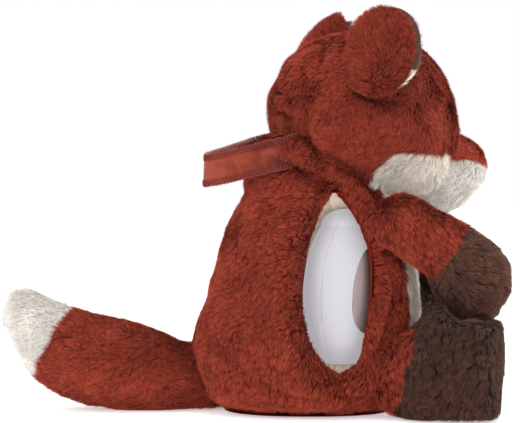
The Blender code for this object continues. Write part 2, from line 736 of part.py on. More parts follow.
for side, label in ((-1, "right"), (1, "left")):
    c, across, up, out = ear_frame(side)
    piv = ear_pivot(side)
    for k, turn in enumerate((0.0, 9.0, 18.0) if side < 0 else (0.0, 7.5, 14.5)):
        room = solid("cut_ear_%s_%d" % (label, k), 28, 12, ear_room(side, turn), "rust", cutter=True)
        cut(head_cover, room)
        cut(head_fill, room)
    skin("ear_back_" + label, 24, 4, ear_plate(side, 0.0, 0, 1, -0.4, 6.0), c - out * 60, "rust", piv, thick=2.4)

    def half(top):
        cc, ac, u2, o2 = ear_frame(side)

        def fn(a, b):
            # an upper and a lower half of the lining, split by a level seam a little below the middle
            seam = -6.0
            k = (a - 0.5) * 2
            if top:
                y = seam + 0.3 + (EAR_R[1] * 0.93 - seam - 0.3) * b
            else:
                y = seam - 0.3 - (EAR_R[1] * 0.93 + seam - 0.3) * b
            lim = math.sqrt(max(1 - (y / (EAR_R[1] * 0.935)) ** 2, 0.0004))
            x = k * EAR_R[0] * 0.93 * lim * (1 - 0.10 * smooth(-y, 0, EAR_R[1]))
            r2 = (x / EAR_R[0]) ** 2 + (y / EAR_R[1]) ** 2
            return cc + ac * x + u2 * y + o2 * (-5.4 + 6.0 * (1 - r2))
        return fn

    skin("ear_inner_" + label, 8, 6, half(True), c + out * 60, "brown", piv, thick=1.5)
    skin("ear_base_" + label, 8, 5, half(False), c + out * 60, "cream", piv, thick=1.5)

# ----------------------------------------------------------------------------- arms
for side, label, sh, pw in ((-1, "right", SHOULDER_R, PAW_R), (1, "left", SHOULDER_L, PAW_L)):
    fn = arm(side)
    mid = (Vector(sh) + Vector(pw)) / 2
    split = 0.50

    def near(b, f=fn):
        return Vector(f(0.0, b)) * 0.5 + Vector(f(0.5, b)) * 0.5

    def sleeve(a, b, f=fn):
        return f(a, 0.06 + (split - 0.004 - 0.06) * b)

    def paw(a, b, f=fn):
        return f(a, split + 0.004 + (1 - split - 0.004) * b)

    def core(a, b, f=fn, s0=Vector(sh), p0=Vector(pw)):
        d = (p0 - s0).normalized()
        if b <= 0:
            return s0 - d * (SHOULDER_BALL - FILL_GAP)
        if b >= 1:
            return p0 + d * (30.5 - FILL_GAP)
        bb = min(max(b, 0.02), 0.98)
        return offset(f, a, bb, FILL_GAP, near(bb, f))

    skin("arm_cover_" + label, 18, 10, sleeve, mid, "rust", sh)
    skin("paw_cover_" + label, 18, 8, paw, pw, "brown", sh)
    solid("arm_fill_" + label, 18, 14, core, "stuffing", sh)

# ----------------------------------------------------------------------------- legs and boots
for side, label in ((-1, "right"), (1, "left")):
    fn = leg_surface(side)
    hip = Vector((side * HIP[0], HIP[1], HIP[2]))
    boot = Vector((side * 58.0, -98.0, 38.0))

    def leg_core(a, b, f=fn, h=hip, c=boot):
        dd = Vector((f(0, 1.0).x - h.x, f(0, 1.0).y - h.y, 0)).normalized()
        if b <= 0:
            return h - dd * (HIP_R - FILL_GAP - 3.0)
        if b >= 1:
            return Vector(f(0, 1.0)) - dd * (FILL_GAP + 5.0)
        bb = min(max(b, 0.01), 0.90)
        mid = (Vector(f(0.0, bb)) + Vector(f(0.5, bb))) / 2
        p = offset(f, a, bb, FILL_GAP + 5.0, mid)
        return Vector((p.x, p.y, max(p.z, 5.4)))

    skin("leg_cover_" + label, 20, 5, lambda a, b, f=fn: f(a, 0.05 + 0.235 * b), hip, "rust", hip)
    skin("boot_cover_" + label, 20, 10, lambda a, b, f=fn: f(a, 0.305 + 0.43 * b), boot, "boot", hip)
    skin("boot_sole_" + label, 20, 4, lambda a, b, f=fn: f(a, 0.768 + 0.232 * b), boot, "boot", hip)
    solid("leg_fill_" + label, 20, 14, leg_core, "stuffing", hip)

# ----------------------------------------------------------------------------- tail
tail = limb(TAIL_ROWS, (1, 0, 0))
T_SPLIT = 0.665
skin("tail_cover", 18, 13, lambda a, b: tail(a, 0.05 + (T_SPLIT - 0.05) * b + 0.022 * b ** 6 * math.cos(2 * math.pi * a)),
     (2, 130, 34), "rust", TAIL_ROOT)
skin("tail_tip", 18, 9, lambda a, b: tail(a, T_SPLIT + 0.005 + (1 - T_SPLIT - 0.005) * b + 0.022 * (1 - b) ** 6 * math.cos(2 * math.pi * a)),
     (5, 186, 52), "white_fur", TAIL_ROOT)


def tail_core(a, b):
    if b <= 0:
        return Vector((0, TAIL_ROOT[1] - TAIL_R + FILL_GAP, TAIL_ROOT[2]))
    if b >= 1:
        return Vector(tail(0, 1.0)) - Vector((0, 0.3, 0.95)) * FILL_GAP
    bb = min(max(b, 0.02), 0.975)
    mid = (Vector(tail(0.0, bb)) + Vector(tail(0.5, bb))) / 2
    return offset(tail, a, bb, FILL_GAP, mid)


solid("tail_fill", 18, 18, tail_core, "stuffing", TAIL_ROOT)

# ----------------------------------------------------------------------------- hanging strap
STRAP_MID = Vector(NECK) - FWD * STRAP_BACK
STRAP_MID.z = STRAP_Z


def strap_path(t):
    """t from -1 (right root) to 1 (left root): a point and how far it lies beyond the roots."""
    s = abs(t)
    if s > 0.42:
        k = (1 - s) / 0.58
        back = k * (STRAP_LEN - 20.0)
        side = STRAP_SIDE + (20.5 - STRAP_SIDE) * smooth(k, 0.0, 1.0)
    else:
        ang = (1 - s / 0.42) * math.pi / 2
        back = STRAP_LEN - 20.0 + 20.0 * math.sin(ang)
        side = 20.5 * math.cos(ang)
    p = STRAP_MID + LEFT * (math.copysign(side, t) if s > 1e-9 else 0.0) - FWD * back
    return p - UP * (0.27 * back), back


def strap_map(a, b):
    t = -1 + 2 * a
    p, back = strap_path(t)
    return p + UP * (STRAP_H * (2 * b - 1))


strap_loop = skin("strap_loop", 40, 3, strap_map, STRAP_MID - FWD * 20, "ribbon", STRAP_MID, thick=STRAP_T)

# ----------------------------------------------------------------------------- the module
MM = Vector((MOD[0], MOD[1], 0))


def m_at(out, front, z):
    return MM + M_OUT * out + M_FRONT * front + UP * z


mod_in = solid("cut_module_inner", 32, 18, module(-MOD_WALL), "shell", cutter=True)
big = 90.0
keep_back = block("cut_keep_back", m_at(0, SEAM_N - 0.1 - big / 2, 95), M_OUT, M_FRONT, UP, big, big / 2, big, cutter=True)
keep_mid = block("cut_keep_mid", m_at(0, (SEAM_N + PANEL_N) / 2 - 0.1, 95), M_OUT, M_FRONT, UP, big, (PANEL_N - SEAM_N) / 2 - 0.25, big, cutter=True)
keep_front = block("cut_keep_front", m_at(0, PANEL_N + big / 2, 95), M_OUT, M_FRONT, UP, big, big / 2, big, cutter=True)
DOOR = (19.0, 24.0, 88.0)
door_hole = block("cut_door_hole", m_at(0, -30, DOOR[2]), M_OUT, M_FRONT, UP, DOOR[0] + 0.4, 18.0, DOOR[1] + 0.4, cutter=True)
door_keep = block("cut_door_keep", m_at(0, -30, DOOR[2]), M_OUT, M_FRONT, UP, DOOR[0], 18.0, DOOR[1], cutter=True)

btn_dir = (M_OUT * 0.513 - M_FRONT * 0.858).normalized()
btn_at = m_at(31.0, -17.2, 106.7)
btn_hole = rod("cut_button", btn_at - btn_dir * 12, btn_at + btn_dir * 12, 3.1, cutter=True)

back_shell = solid("module_back_shell", 32, 18, module(), "shell")
for tool, how in ((mod_in, "DIFFERENCE"), (keep_back, "INTERSECT"), (door_hole, "DIFFERENCE"), (btn_hole, "DIFFERENCE")):
    cut(back_shell, tool, how)
front_shell = solid("module_front_shell", 32, 18, module(), "shell")
for tool, how in ((mod_in, "DIFFERENCE"), (keep_mid, "INTERSECT")):
    cut(front_shell, tool, how)
front_panel = solid("module_front_panel", 32, 18, module(-0.5), "grey")
for tool, how in ((mod_in, "DIFFERENCE"), (keep_front, "INTERSECT")):
    cut(front_panel, tool, how)
door = solid("module_battery_door", 32, 18, module(), "shell")
screw_at = m_at(0, -30, DOOR[2] + 18)
screw_hole = rod("cut_screw", m_at(0, -40, DOOR[2] + 18), m_at(0, -5, DOOR[2] + 18), 2.3, cutter=True, seg=12)
for tool, how in ((mod_in, "DIFFERENCE"), (door_keep, "INTERSECT"), (screw_hole, "DIFFERENCE")):
    cut(door, tool, how)

rod("door_screw", m_at(0, -24.0, DOOR[2] + 18), m_at(0, -16, DOOR[2] + 18), 1.9, "steel", 12)
rod("power_button", btn_at - btn_dir * 5.0, btn_at - btn_dir * 0.4, 2.6, "shell", 14, origin=btn_at)
rod("speaker", m_at(0, 4.0, 70), m_at(0, 15.0, 70), 17.0, "cone", 24)
block("circuit_board", m_at(0, 0.5, 92), M_OUT, M_FRONT, UP, 26.0, 0.8, 38.0, "board")

for k, label in ((-1, "a"), (0, "b"), (1, "c")):
    rod("battery_" + label, m_at(k * 11.0, -9.5, 64.5), m_at(k * 11.0, -9.5, 105.5), 5.25, "cell", 14)
for k, label in ((-1, "lower"), (1, "upper")):
    block("battery_contact_" + label, m_at(0, -9.5, 85.0 + k * 21.6), M_OUT, M_FRONT, UP, 15.5, 4.0, 0.4, "steel")
for x, z, label in ((-24, 60, "a"), (24, 60, "b"), (-20, 122, "c"), (20, 122, "d")):
    rod("shell_screw_" + label, m_at(x, -13.5, z), m_at(x, -4.5, z), 1.6, "steel", 10)
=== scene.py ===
"""Looks of a seated plush fox: short pile fur grown strand by strand on sewn, stuffed panels,
a velvet hanging strap with overlocked edges, and a plastic sound unit in a cloth pouch."""
import math

import bpy
import numpy as np
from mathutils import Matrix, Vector, kdtree


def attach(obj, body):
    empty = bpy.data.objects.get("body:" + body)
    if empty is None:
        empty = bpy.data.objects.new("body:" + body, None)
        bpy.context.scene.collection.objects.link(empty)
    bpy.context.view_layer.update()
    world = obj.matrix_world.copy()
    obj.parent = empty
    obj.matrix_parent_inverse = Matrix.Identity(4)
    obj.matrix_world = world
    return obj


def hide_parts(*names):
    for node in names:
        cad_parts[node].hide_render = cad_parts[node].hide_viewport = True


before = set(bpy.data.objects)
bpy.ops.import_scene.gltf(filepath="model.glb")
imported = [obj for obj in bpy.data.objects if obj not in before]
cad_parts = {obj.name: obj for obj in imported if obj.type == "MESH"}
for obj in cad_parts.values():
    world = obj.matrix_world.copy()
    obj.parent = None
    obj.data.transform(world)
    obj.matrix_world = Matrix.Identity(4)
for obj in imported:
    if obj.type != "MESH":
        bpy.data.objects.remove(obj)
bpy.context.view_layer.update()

PI = math.pi
MM = 0.001

# ============================================================================ lights, floor, camera
scene = bpy.context.scene
scene.view_settings.view_transform = "Standard"
scene.view_settings.look = "None"
scene.view_settings.exposure = 0.0

cam = bpy.data.cameras.new("camera")
cam_ob = bpy.data.objects.new("camera", cam)
scene.collection.objects.link(cam_ob)
scene.camera = cam_ob
cam.lens, cam.sensor_width = 133.8, 36.0
cam_ob.location = (-1.4, 0.029, 0.180)
aim = Vector((0.0, 0.029, 0.1435))
cam_ob.rotation_mode = "QUATERNION"
cam_ob.rotation_quaternion = (aim - cam_ob.location).to_track_quat("-Z", "Y")

world = bpy.data.worlds.new("studio")
scene.world = world
world.use_nodes = True
world.node_tree.nodes["Background"].inputs[0].default_value = (1.0, 1.0, 1.0, 1.0)
world.node_tree.nodes["Background"].inputs[1].default_value = 1.0


def area(name, where, to, size, power, colour=(1, 1, 1)):
    data = bpy.data.lights.new(name, "AREA")
    data.shape, data.size, data.energy, data.color = "DISK", size, power, colour
    ob = bpy.data.objects.new(name, data)
    scene.collection.objects.link(ob)
    ob.location = where
    ob.rotation_mode = "QUATERNION"
    ob.rotation_quaternion = (Vector(to) - Vector(where)).to_track_quat("-Z", "Y")
    return ob


KEY, REAR, FILL, TOP, FRONT, BEHIND = 1.5, 4.2, 4.4, 8.0, 7.0, 9.0
area("key", (-1.3, 0.55, 1.25), (0, 0, 0.13), 0.9, KEY)
area("rear", (-0.8, 1.35, 0.55), (0, 0, 0.12), 1.0, REAR)
area("fill", (-0.9, -1.3, 0.5), (0, 0, 0.12), 1.0, FILL)
area("top", (-0.1, 0.0, 1.5), (0, 0, 0.1), 1.0, TOP)
area("front", (0.3, -1.5, 0.7), (0, 0, 0.14), 1.0, FRONT)
area("behind", (1.25, -0.15, 0.95), (0, 0, 0.14), 1.2, BEHIND)


def nodes_of(mat):
    mat.use_nodes = True
    nt = mat.node_tree
    return nt, nt.nodes["Principled BSDF"]


def new(nt, kind, **values):
    n = nt.nodes.new(kind)
    for k, v in values.items():
        if k.startswith("i_"):
            key = k[2:].replace("_", " ")
            n.inputs[int(key) if key.isdigit() else key].default_value = v
        else:
            setattr(n, k, v)
    return n


def floor():
    mesh = bpy.data.meshes.new("floor")
    s = 6.0
    mesh.from_pydata([(-s, -s, 0), (s, -s, 0), (s, s, 0), (-s, s, 0)], [], [(0, 1, 2, 3)])
    ob = bpy.data.objects.new("floor", mesh)
    scene.collection.objects.link(ob)
    mat = bpy.data.materials.new("floor_white")
    nt, bsdf = nodes_of(mat)
    bsdf.inputs["Base Color"].default_value = (0.96, 0.96, 0.96, 1)
    bsdf.inputs["Roughness"].default_value = 0.9
    bsdf.inputs["Specular IOR Level"].default_value = 0.1
    bsdf.inputs["Emission Color"].default_value = (1, 1, 1, 1)
    bsdf.inputs["Emission Strength"].default_value = 0.45
    mesh.materials.append(mat)


floor()

# ============================================================================ shape rules (millimetres, as in the CAD)
INSET = 4.6        # the cloth lies this far under the pile's surface
TORSO = np.array([
    (2.4, 55, -66, 50), (7, 62, -73, 60), (14, 68, -79, 66), (26, 73, -84, 71), (45, 76, -87, 74), (66, 72.5, -88, 74),
    (90, 66, -87, 70.5), (110, 59, -84, 65), (126, 52.5, -79.5, 60), (140, 46.5, -73, 54.5), (150, 41, -65.5, 51),
    (158, 37.7, -59.7, 48.7)], float)
NECK, NECK_R, KNEE = np.array((0.0, -11.0, 163.0)), 49.0, 0.76
HEAD, HEAD_R, HEAD_W = np.array((12.0, -46.0, 217.0)), (71.0, 60.0), (75.0, 66.0)
YAW = math.radians(20)
FWD = np.array((math.sin(YAW), -math.cos(YAW), 0.0))
LEFT = np.array((math.cos(YAW), math.sin(YAW), 0.0))
UP = np.array((0.0, 0.0, 1.0))
MUZZLE = np.array((HEAD[0], HEAD[1], 0.0)) + FWD * 65.3 + UP * 172.8
MUZZLE_R = (33.0, 30.0, 29.0)
EAR_SIDE, EAR_BACK, EAR_Z, EAR_R = 60.0, {-1: 13.0, 1: 1.0}, 256.0, (27.0, 35.0)
EAR_TURN = {-1: 42.0, 1: 100.0}
EAR_TILT = math.radians(18)
HIP, HIP_R = (50.0, -75.0, 36.0), 25.0
TAIL_ROOT, TAIL_R = (0.0, 66.0, 25.0), 21.5
SHOULDER = {"right": (-46.0, -68.0, 137.0), "left": (53.0, -67.0, 127.0)}
PAW = {"right": (-46.0, -121.0, 98.0), "left": (68.0, -117.0, 99.0)}
MOD, MOD_H, MOD_W, MOD_T = np.array((-16.0, -32.5, 37.0)), 109.0, 46.0, 27.5
M_OUT = np.array((-math.cos(math.radians(20)), math.sin(math.radians(20)), 0.0))
M_FRONT = np.array((-math.sin(math.radians(20)), -math.cos(math.radians(20)), 0.0))


def spline(rows, t):
    """Catmull-Rom through rows at t, 0 to 1, for an array of t."""
    rows = np.asarray(rows, float)
    n = len(rows) - 1
    x = np.clip(t, 0, 1) * n
    i = np.minimum(x.astype(int), n - 1)
    f = (x - i)[..., None]
    a, b, c, d = (rows[np.clip(i + k, 0, n)] for k in (-1, 0, 1, 2))
    return 0.5 * (2 * b + (c - a) * f + (2 * a - 5 * b + 4 * c - d) * f ** 2 + (3 * b - a - 3 * c + d) * f ** 3)


def power(x, e):
    return np.sign(x) * np.abs(x) ** e


def smooth(x, a, b):
    t = np.clip((np.asarray(x, float) - a) / (b - a), 0, 1)
    return t * t * (3 - 2 * t)


def unit(v):
    return v / np.maximum(np.linalg.norm(v, axis=-1, keepdims=True), 1e-9)


def vec(*xs):
    return np.stack(np.broadcast_arrays(*xs), axis=-1).astype(float)


def noise(p, scale, seed=0):
    """Smooth value noise, -1 to 1, from a hash of lattice cells."""
    q = np.asarray(p, float) / scale + 37.7 + seed * 5.31
    i = np.floor(q).astype(np.int64)
    f = q - i
    f = f * f * (3 - 2 * f)
    out = 0.0
    for dx in (0, 1):
        for dy in (0, 1):
            for dz in (0, 1):
                h = (i[..., 0] + dx) * 374761393 + (i[..., 1] + dy) * 668265263 + (i[..., 2] + dz) * 1442695041 + seed * 97531
                h = (h ^ (h >> 13)) * 1274126177 & 0xFFFFFFFF
                h = (h ^ (h >> 16)) * 2246822519 & 0xFFFFFFFF
                h = (h ^ (h >> 15)) & 0xFFFF
                w = (f[..., 0] if dx else 1 - f[..., 0]) * (f[..., 1] if dy else 1 - f[..., 1]) * (f[..., 2] if dz else 1 - f[..., 2])
                out = out + w * (h / 32767.5 - 1.0)
    return out


def torso(a, b):
    ang = 2 * PI * a
    s, c = np.sin(ang), np.cos(ang)
    row = spline(TORSO, b / KNEE)
    z, back, front, w = (row[..., k] for k in range(4))
    e = 2 / (2.35 - 0.35 * np.minimum(b / KNEE, 1.0))
    low = vec(w * power(s, e), (back + front) / 2 - (back - front) / 2 * power(c, e), z)
    t = math.acos((158.0 - NECK[2]) / NECK_R) * (1 - (b - KNEE) / (1 - KNEE))
    r = NECK_R * np.sin(t)
    high = vec(NECK[0] + r * s, NECK[1] - r * c, NECK[2] + NECK_R * np.cos(t))
    return np.where((b <= KNEE)[..., None], low, high)


def head(a, b):
    ang, e = 2 * PI * a, PI * (b - 0.5)
    w = HEAD_W[0] + (HEAD_W[1] - HEAD_W[0]) * smooth(np.sin(e), -0.5, 0.5)
    return (HEAD + FWD * (HEAD_R[0] * np.cos(e) * np.cos(ang))[..., None] + LEFT * (w * np.cos(e) * np.sin(ang))[..., None]
            + UP * (HEAD_R[1] * np.sin(e))[..., None])


def muzzle(a, b):
    ang, t = 2 * PI * a, PI * (1 - b)
    r = np.sin(t)
    return (MUZZLE + FWD * (MUZZLE_R[0] * np.cos(t))[..., None] + LEFT * (MUZZLE_R[1] * r * np.sin(ang))[..., None]
            + UP * (MUZZLE_R[2] * r * np.cos(ang))[..., None])


def limb(rows):
    side = np.array((1.0, 0.0, 0.0))

    def fn(a, b):
        row = spline(rows, b)
        d = unit(spline(rows, np.minimum(b + 0.01, 1))[..., :3] - spline(rows, np.maximum(b - 0.01, 0))[..., :3])
        up = unit(np.cross(side, d))
        across = np.cross(d, up)
        ang = 2 * PI * a
        return row[..., :3] + up * (np.maximum(row[..., 3], 0) * np.cos(ang))[..., None] + across * (np.maximum(row[..., 4], 0) * np.sin(ang))[..., None]

    return fn


def arm_rows(shoulder, paw, r=21.5):
    s, p = np.array(shoulder), np.array(paw)
    d = unit(p - s)
    rows = [(*(s + d * (r * math.cos(PI * (1 - k / 8)))), *(r * math.sin(PI * (1 - k / 8)),) * 2) for k in range(5)]
    lift = np.array((0, 0, 3.0))
    rows.append((*(s + (p - s) * 0.30 + lift), 22.5, 21.5))
    rows.append((*(s + (p - s) * 0.62 + lift), 24.5, 23.5))
    rows.append((*(p - d * 8 + lift * 0.3), 29.0, 26.0))
    for k in range(5):
        t = PI / 8 * k
        rows.append((*(p + d * (30.5 * math.sin(t))), 30.5 * math.cos(t), 27.0 * math.cos(t)))
    return rows


def arm_form(side):
    """The arm, flattened under the paw where it rests on the boot."""
    label = "right" if side < 0 else "left"
    form = limb(arm_rows(SHOULDER[label], PAW[label]))

    def fn(a, b):
        p = form(a, b)
        z = p[..., 2]
        p[..., 2] = np.where(z < 72.0, 72.0 - (72.0 - z) * 0.25, z)
        return p

    return fn


def under_paw(side, y):
    """The height that the boot's top keeps under the paw."""
    paw = PAW["right" if side < 0 else "left"]
    dy = y - paw[1]
    z = np.maximum(69.2, paw[2] - np.sqrt(np.maximum(30.5 ** 2 - dy * dy, 0)) - 2.6)
    return np.where(dy <= 0, 69.2, np.where(dy >= 30.5, 200.0, z))


LEG_ROWS = [
    (-3.5, 24.8, 24.8, 36.3), (4.0, 28.4, 27.0, 37.2), (14.0, 36.0, 30.0, 38.8), (26.0, 41.6, 32.0, 41.2),
    (40.0, 41.6, 31.8, 41.2), (53.0, 40.4, 31.0, 40.4), (61.0, 37.4, 29.2, 38.8), (65.0, 32.0, 25.4, 38.0),
    (66.4, 17.0, 14.0, 37.5), (66.7, 0.0, 0.0, 37.5)]


def leg(side):
    hip = np.array((side * HIP[0], HIP[1], HIP[2]))
    d = unit(np.array((side * 60.0 - hip[0], -104.0 - hip[1], 0)))
    across = np.array((-d[1], d[0], 0))

    def fn(a, b):
        ang = 2 * PI * a
        s, c = np.sin(ang), np.cos(ang)
        t = PI * (1 - b / 0.30 * 0.46)
        near = hip + d * (HIP_R * np.cos(t))[..., None] + UP * (HIP_R * np.sin(t) * c)[..., None] + across * (HIP_R * np.sin(t) * s)[..., None]
        row = spline(LEG_ROWS, (b - 0.30) / 0.70)
        e = 2 / (2.0 + 0.9 * smooth(b, 0.3, 0.5))
        ru, rs = np.maximum(row[..., 1], 0), np.maximum(row[..., 2], 0)
        far = (np.array((hip[0], hip[1], 0)) + d * row[..., 0][..., None] + UP * (row[..., 3] + ru * power(c, e))[..., None]
               + across * (rs * power(s, e))[..., None])
        top, z = under_paw(side, far[..., 1]), far[..., 2]
        far[..., 2] = np.where(z > top - 9.0, top - 1.5 * np.log(1 + np.exp(np.clip((top - z) / 1.5, -60, 60))), z)
        p = np.where((b < 0.30)[..., None], near, far)
        p[..., 2] = np.maximum(p[..., 2], 0.6)
        return p

    return fn


TAIL_ROWS = [(0.0, TAIL_ROOT[1] + TAIL_R * math.cos(PI * (1 - k / 8)), TAIL_ROOT[2], *(TAIL_R * math.sin(PI * (1 - k / 8)),) * 2) for k in range(5)]
TAIL_ROWS += [
    (0.0, 90.0, 26.5, 24.5, 25.0), (1.0, 112.0, 30.5, 29.0, 30.0), (2.0, 136.0, 34.2, 32.8, 32.0),
    (3.0, 158.0, 39.4, 33.0, 32.0), (4.0, 176.0, 47.4, 30.6, 30.0), (5.0, 188.2, 57.2, 26.4, 26.0),
    (5.5, 197.6, 68.2, 20.8, 20.0), (6.0, 203.6, 78.2, 14.4, 14.0), (6.0, 207.2, 84.4, 7.6, 7.2), (6.0, 208.6, 87.2, 0.0, 0.0)]
tail = limb(TAIL_ROWS)


def ear_axes(side):
    turn = math.radians(EAR_TURN[side])
    out = unit(LEFT * side * math.cos(turn) - FWD * math.sin(turn))
    out = unit(out * math.cos(EAR_TILT) + UP * math.sin(EAR_TILT))
    across = unit(np.cross(UP, out)) * side
    up = unit(np.cross(out, across) * side)
    if up[2] < 0:
        up = -up
    c = HEAD + LEFT * side * EAR_SIDE - FWD * EAR_BACK[side]
    c[2] = EAR_Z
    return c, across, up, out


# ============================================================================ lattices: shape plus folds, with normals
class Lattice:
    """Points and outward normals of a form on an even grid of its two coordinates."""

    def __init__(self, fn, nu, nv, a=(0, 1), b=(0, 1), inset=INSET, bend=None, centre=None, low=0.5):
        A, B = np.meshgrid(np.linspace(*a, nu + 1), np.linspace(*b, nv + 1), indexing="ij")
        self.a, self.b = A, B
        self.wrap = abs(a[1] - a[0] - 1) < 1e-6
        P = fn(A, B)
        N = self.normals(P, centre)
        P = P - N * inset
        if bend is not None:
            h = bend(P, A, B)
            P = P + (h if h.ndim == 3 else N * h[..., None])
        P[..., 2] = np.maximum(P[..., 2], low)
        self.p, self.n = P, self.normals(P, centre)
        if self.wrap:
            self.n[0] = self.n[-1] = unit(self.n[0] + self.n[-1])

    def normals(self, P, centre):
        if self.wrap:
            Q = np.concatenate([P[-2:-1], P, P[1:2]], axis=0)
            du = (Q[2:] - Q[:-2])
        else:
            du = np.gradient(P, axis=0)
        dv = np.gradient(P, axis=1)
        N = np.cross(du, dv)
        ln = np.linalg.norm(N, axis=-1, keepdims=True)
        mid = P.mean(axis=(0, 1)) if centre is None else np.asarray(centre)
        away = P - mid
        flip = np.sign((N * away).sum()) or 1.0
        return np.where(ln > 1e-5, N / np.maximum(ln, 1e-9) * flip, unit(away))


def mesh_object(name, co, faces_idx, loops_start, loops_total, smooth_on=True):
    mesh = bpy.data.meshes.new(name)
    mesh.vertices.add(len(co))
    mesh.vertices.foreach_set("co", (np.asarray(co, np.float32) * MM).ravel())
    mesh.loops.add(len(faces_idx))
    mesh.loops.foreach_set("vertex_index", np.asarray(faces_idx, np.int32))
    mesh.polygons.add(len(loops_start))
    mesh.polygons.foreach_set("loop_start", np.asarray(loops_start, np.int32))
    mesh.polygons.foreach_set("loop_total", np.asarray(loops_total, np.int32))
    mesh.polygons.foreach_set("use_smooth", np.full(len(loops_start), smooth_on))
    mesh.update(calc_edges=True)
    ob = bpy.data.objects.new(name, mesh)
    scene.collection.objects.link(ob)
    return ob


def snapped(lat, q, dist, level):
    """Moves the border points of the kept faces along the cloth to where dist is level."""
    P, n = lat.p.reshape(-1, 3).copy(), lat.n.reshape(-1, 3)
    count = np.bincount(q.ravel(), minlength=len(P))
    rim = np.where((count > 0) & (count < 4))[0]
    d = dist(P[rim])
    near = np.abs(d - level) < 4.0
    rim, d = rim[near], d[near]
    g = np.zeros((len(rim), 3))
    for ax in (1, 2):
        e = np.zeros(3)
        e[ax] = 0.5
        g[:, ax] = dist(P[rim] + e) - dist(P[rim] - e)
    g = unit(g)
    t = g - n[rim] * (g * n[rim]).sum(-1, keepdims=True)
    t = t / np.maximum((g * t).sum(-1, keepdims=True), 0.35)
    P[rim] += t * (level - d)[:, None]
    return P


def cloth(name, lat, mat, keep=None, thick=1.0, body=None, nodes=(), snap=None):
    """The sewn cloth under the pile: the lattice's own faces, thickened inwards."""
    nu, nv = lat.p.shape[0], lat.p.shape[1]
    idx = np.arange(nu * nv).reshape(nu, nv)
    q = np.stack([idx[:-1, :-1], idx[1:, :-1], idx[1:, 1:], idx[:-1, 1:]], axis=-1).reshape(-1, 4)
    if keep is not None:
        mid = (lat.p[:-1, :-1] + lat.p[1:, 1:]) / 2
        q = q[keep(mid, (lat.a[:-1, :-1] + lat.a[1:, 1:]) / 2, (lat.b[:-1, :-1] + lat.b[1:, 1:]) / 2).reshape(-1)]
    P = lat.p.reshape(-1, 3) if snap is None else snapped(lat, q, *snap)
    face_n = np.cross(P[q[:, 1]] - P[q[:, 0]], P[q[:, 2]] - P[q[:, 0]]) + np.cross(P[q[:, 2]] - P[q[:, 0]], P[q[:, 3]] - P[q[:, 0]])
    if (face_n * lat.n.reshape(-1, 3)[q[:, 0]]).sum() < 0:
        q = q[:, ::-1]
    import bmesh
    bm = bmesh.new()
    used = np.unique(q)
    vs = {int(i): bm.verts.new(P[i] * MM) for i in used}
    for f in q:
        bm.faces.new([vs[int(i)] for i in f])
    bmesh.ops.remove_doubles(bm, verts=bm.verts, dist=1e-6)
    bmesh.ops.dissolve_degenerate(bm, dist=1e-7, edges=bm.edges)
    for f in bm.faces:
        f.smooth = True
    mesh = bpy.data.meshes.new(name)
    bm.to_mesh(mesh)
    bm.free()
    ob = bpy.data.objects.new(name, mesh)
    scene.collection.objects.link(ob)
    mesh.materials.append(mat)
    if thick:
        mod = ob.modifiers.new("thickness", "SOLIDIFY")
        mod.thickness, mod.offset = thick * MM, -1.0
    place(ob, body, nodes)
    return ob


def place(ob, body, nodes=()):
    if body:
        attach(ob, body)
    if nodes:
        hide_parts(*nodes)


# ============================================================================ fur
def srgb(r, g, b):
    return np.array([(x / 255 / 12.92) if x / 255 <= 0.04045 else ((x / 255 + 0.055) / 1.055) ** 2.4 for x in (r, g, b)])


RUST = srgb(119, 33, 20)
RUST_TIP = srgb(192, 86, 64)
CREAM = srgb(226, 217, 206)
WHITE = srgb(232, 227, 220)
BROWN = srgb(68, 42, 33)
BOOT = srgb(47, 29, 23)
EAR_BROWN = srgb(88, 63, 51)
GAIN = 1.0


def pile_material(name, tint, rough=0.85, sheen=0.25, sheen_tint=(1, 1, 1)):
    """Pile: each strand's own colour, darker at its root, mottled by two sizes of noise, with a soft sheen."""
    mat = bpy.data.materials.new(name)
    nt, bsdf = nodes_of(mat)
    col = new(nt, "ShaderNodeAttribute", attribute_type="GEOMETRY", attribute_name="pile")
    tex = new(nt, "ShaderNodeTexCoord")
    big = new(nt, "ShaderNodeTexNoise", i_Scale=55.0, i_Detail=3.0, i_Roughness=0.6)
    fine = new(nt, "ShaderNodeTexNoise", i_Scale=420.0, i_Detail=1.0)
    nt.links.new(tex.outputs["Object"], big.inputs["Vector"])
    nt.links.new(tex.outputs["Object"], fine.inputs["Vector"])
    ramp = new(nt, "ShaderNodeMapRange", i_From_Min=0.3, i_From_Max=0.7, i_To_Min=0.86, i_To_Max=1.12)
    ramp2 = new(nt, "ShaderNodeMapRange", i_From_Min=0.3, i_From_Max=0.7, i_To_Min=0.9, i_To_Max=1.1)
    nt.links.new(big.outputs["Fac"], ramp.inputs["Value"])
    nt.links.new(fine.outputs["Fac"], ramp2.inputs["Value"])
    mul = new(nt, "ShaderNodeMath", operation="MULTIPLY")
    nt.links.new(ramp.outputs["Result"], mul.inputs[0])
    nt.links.new(ramp2.outputs["Result"], mul.inputs[1])
    scale = new(nt, "ShaderNodeVectorMath", operation="SCALE")
    nt.links.new(col.outputs["Color"], scale.inputs[0])
    nt.links.new(mul.outputs["Value"], scale.inputs["Scale"])
    nt.links.new(scale.outputs["Vector"], bsdf.inputs["Base Color"])
    bsdf.inputs["Roughness"].default_value = rough
    bsdf.inputs["Specular IOR Level"].default_value = 0.12
    bsdf.inputs["Sheen Weight"].default_value = sheen
    bsdf.inputs["Sheen Roughness"].default_value = 0.55
    bsdf.inputs["Sheen Tint"].default_value = (*sheen_tint, 1)
    return mat


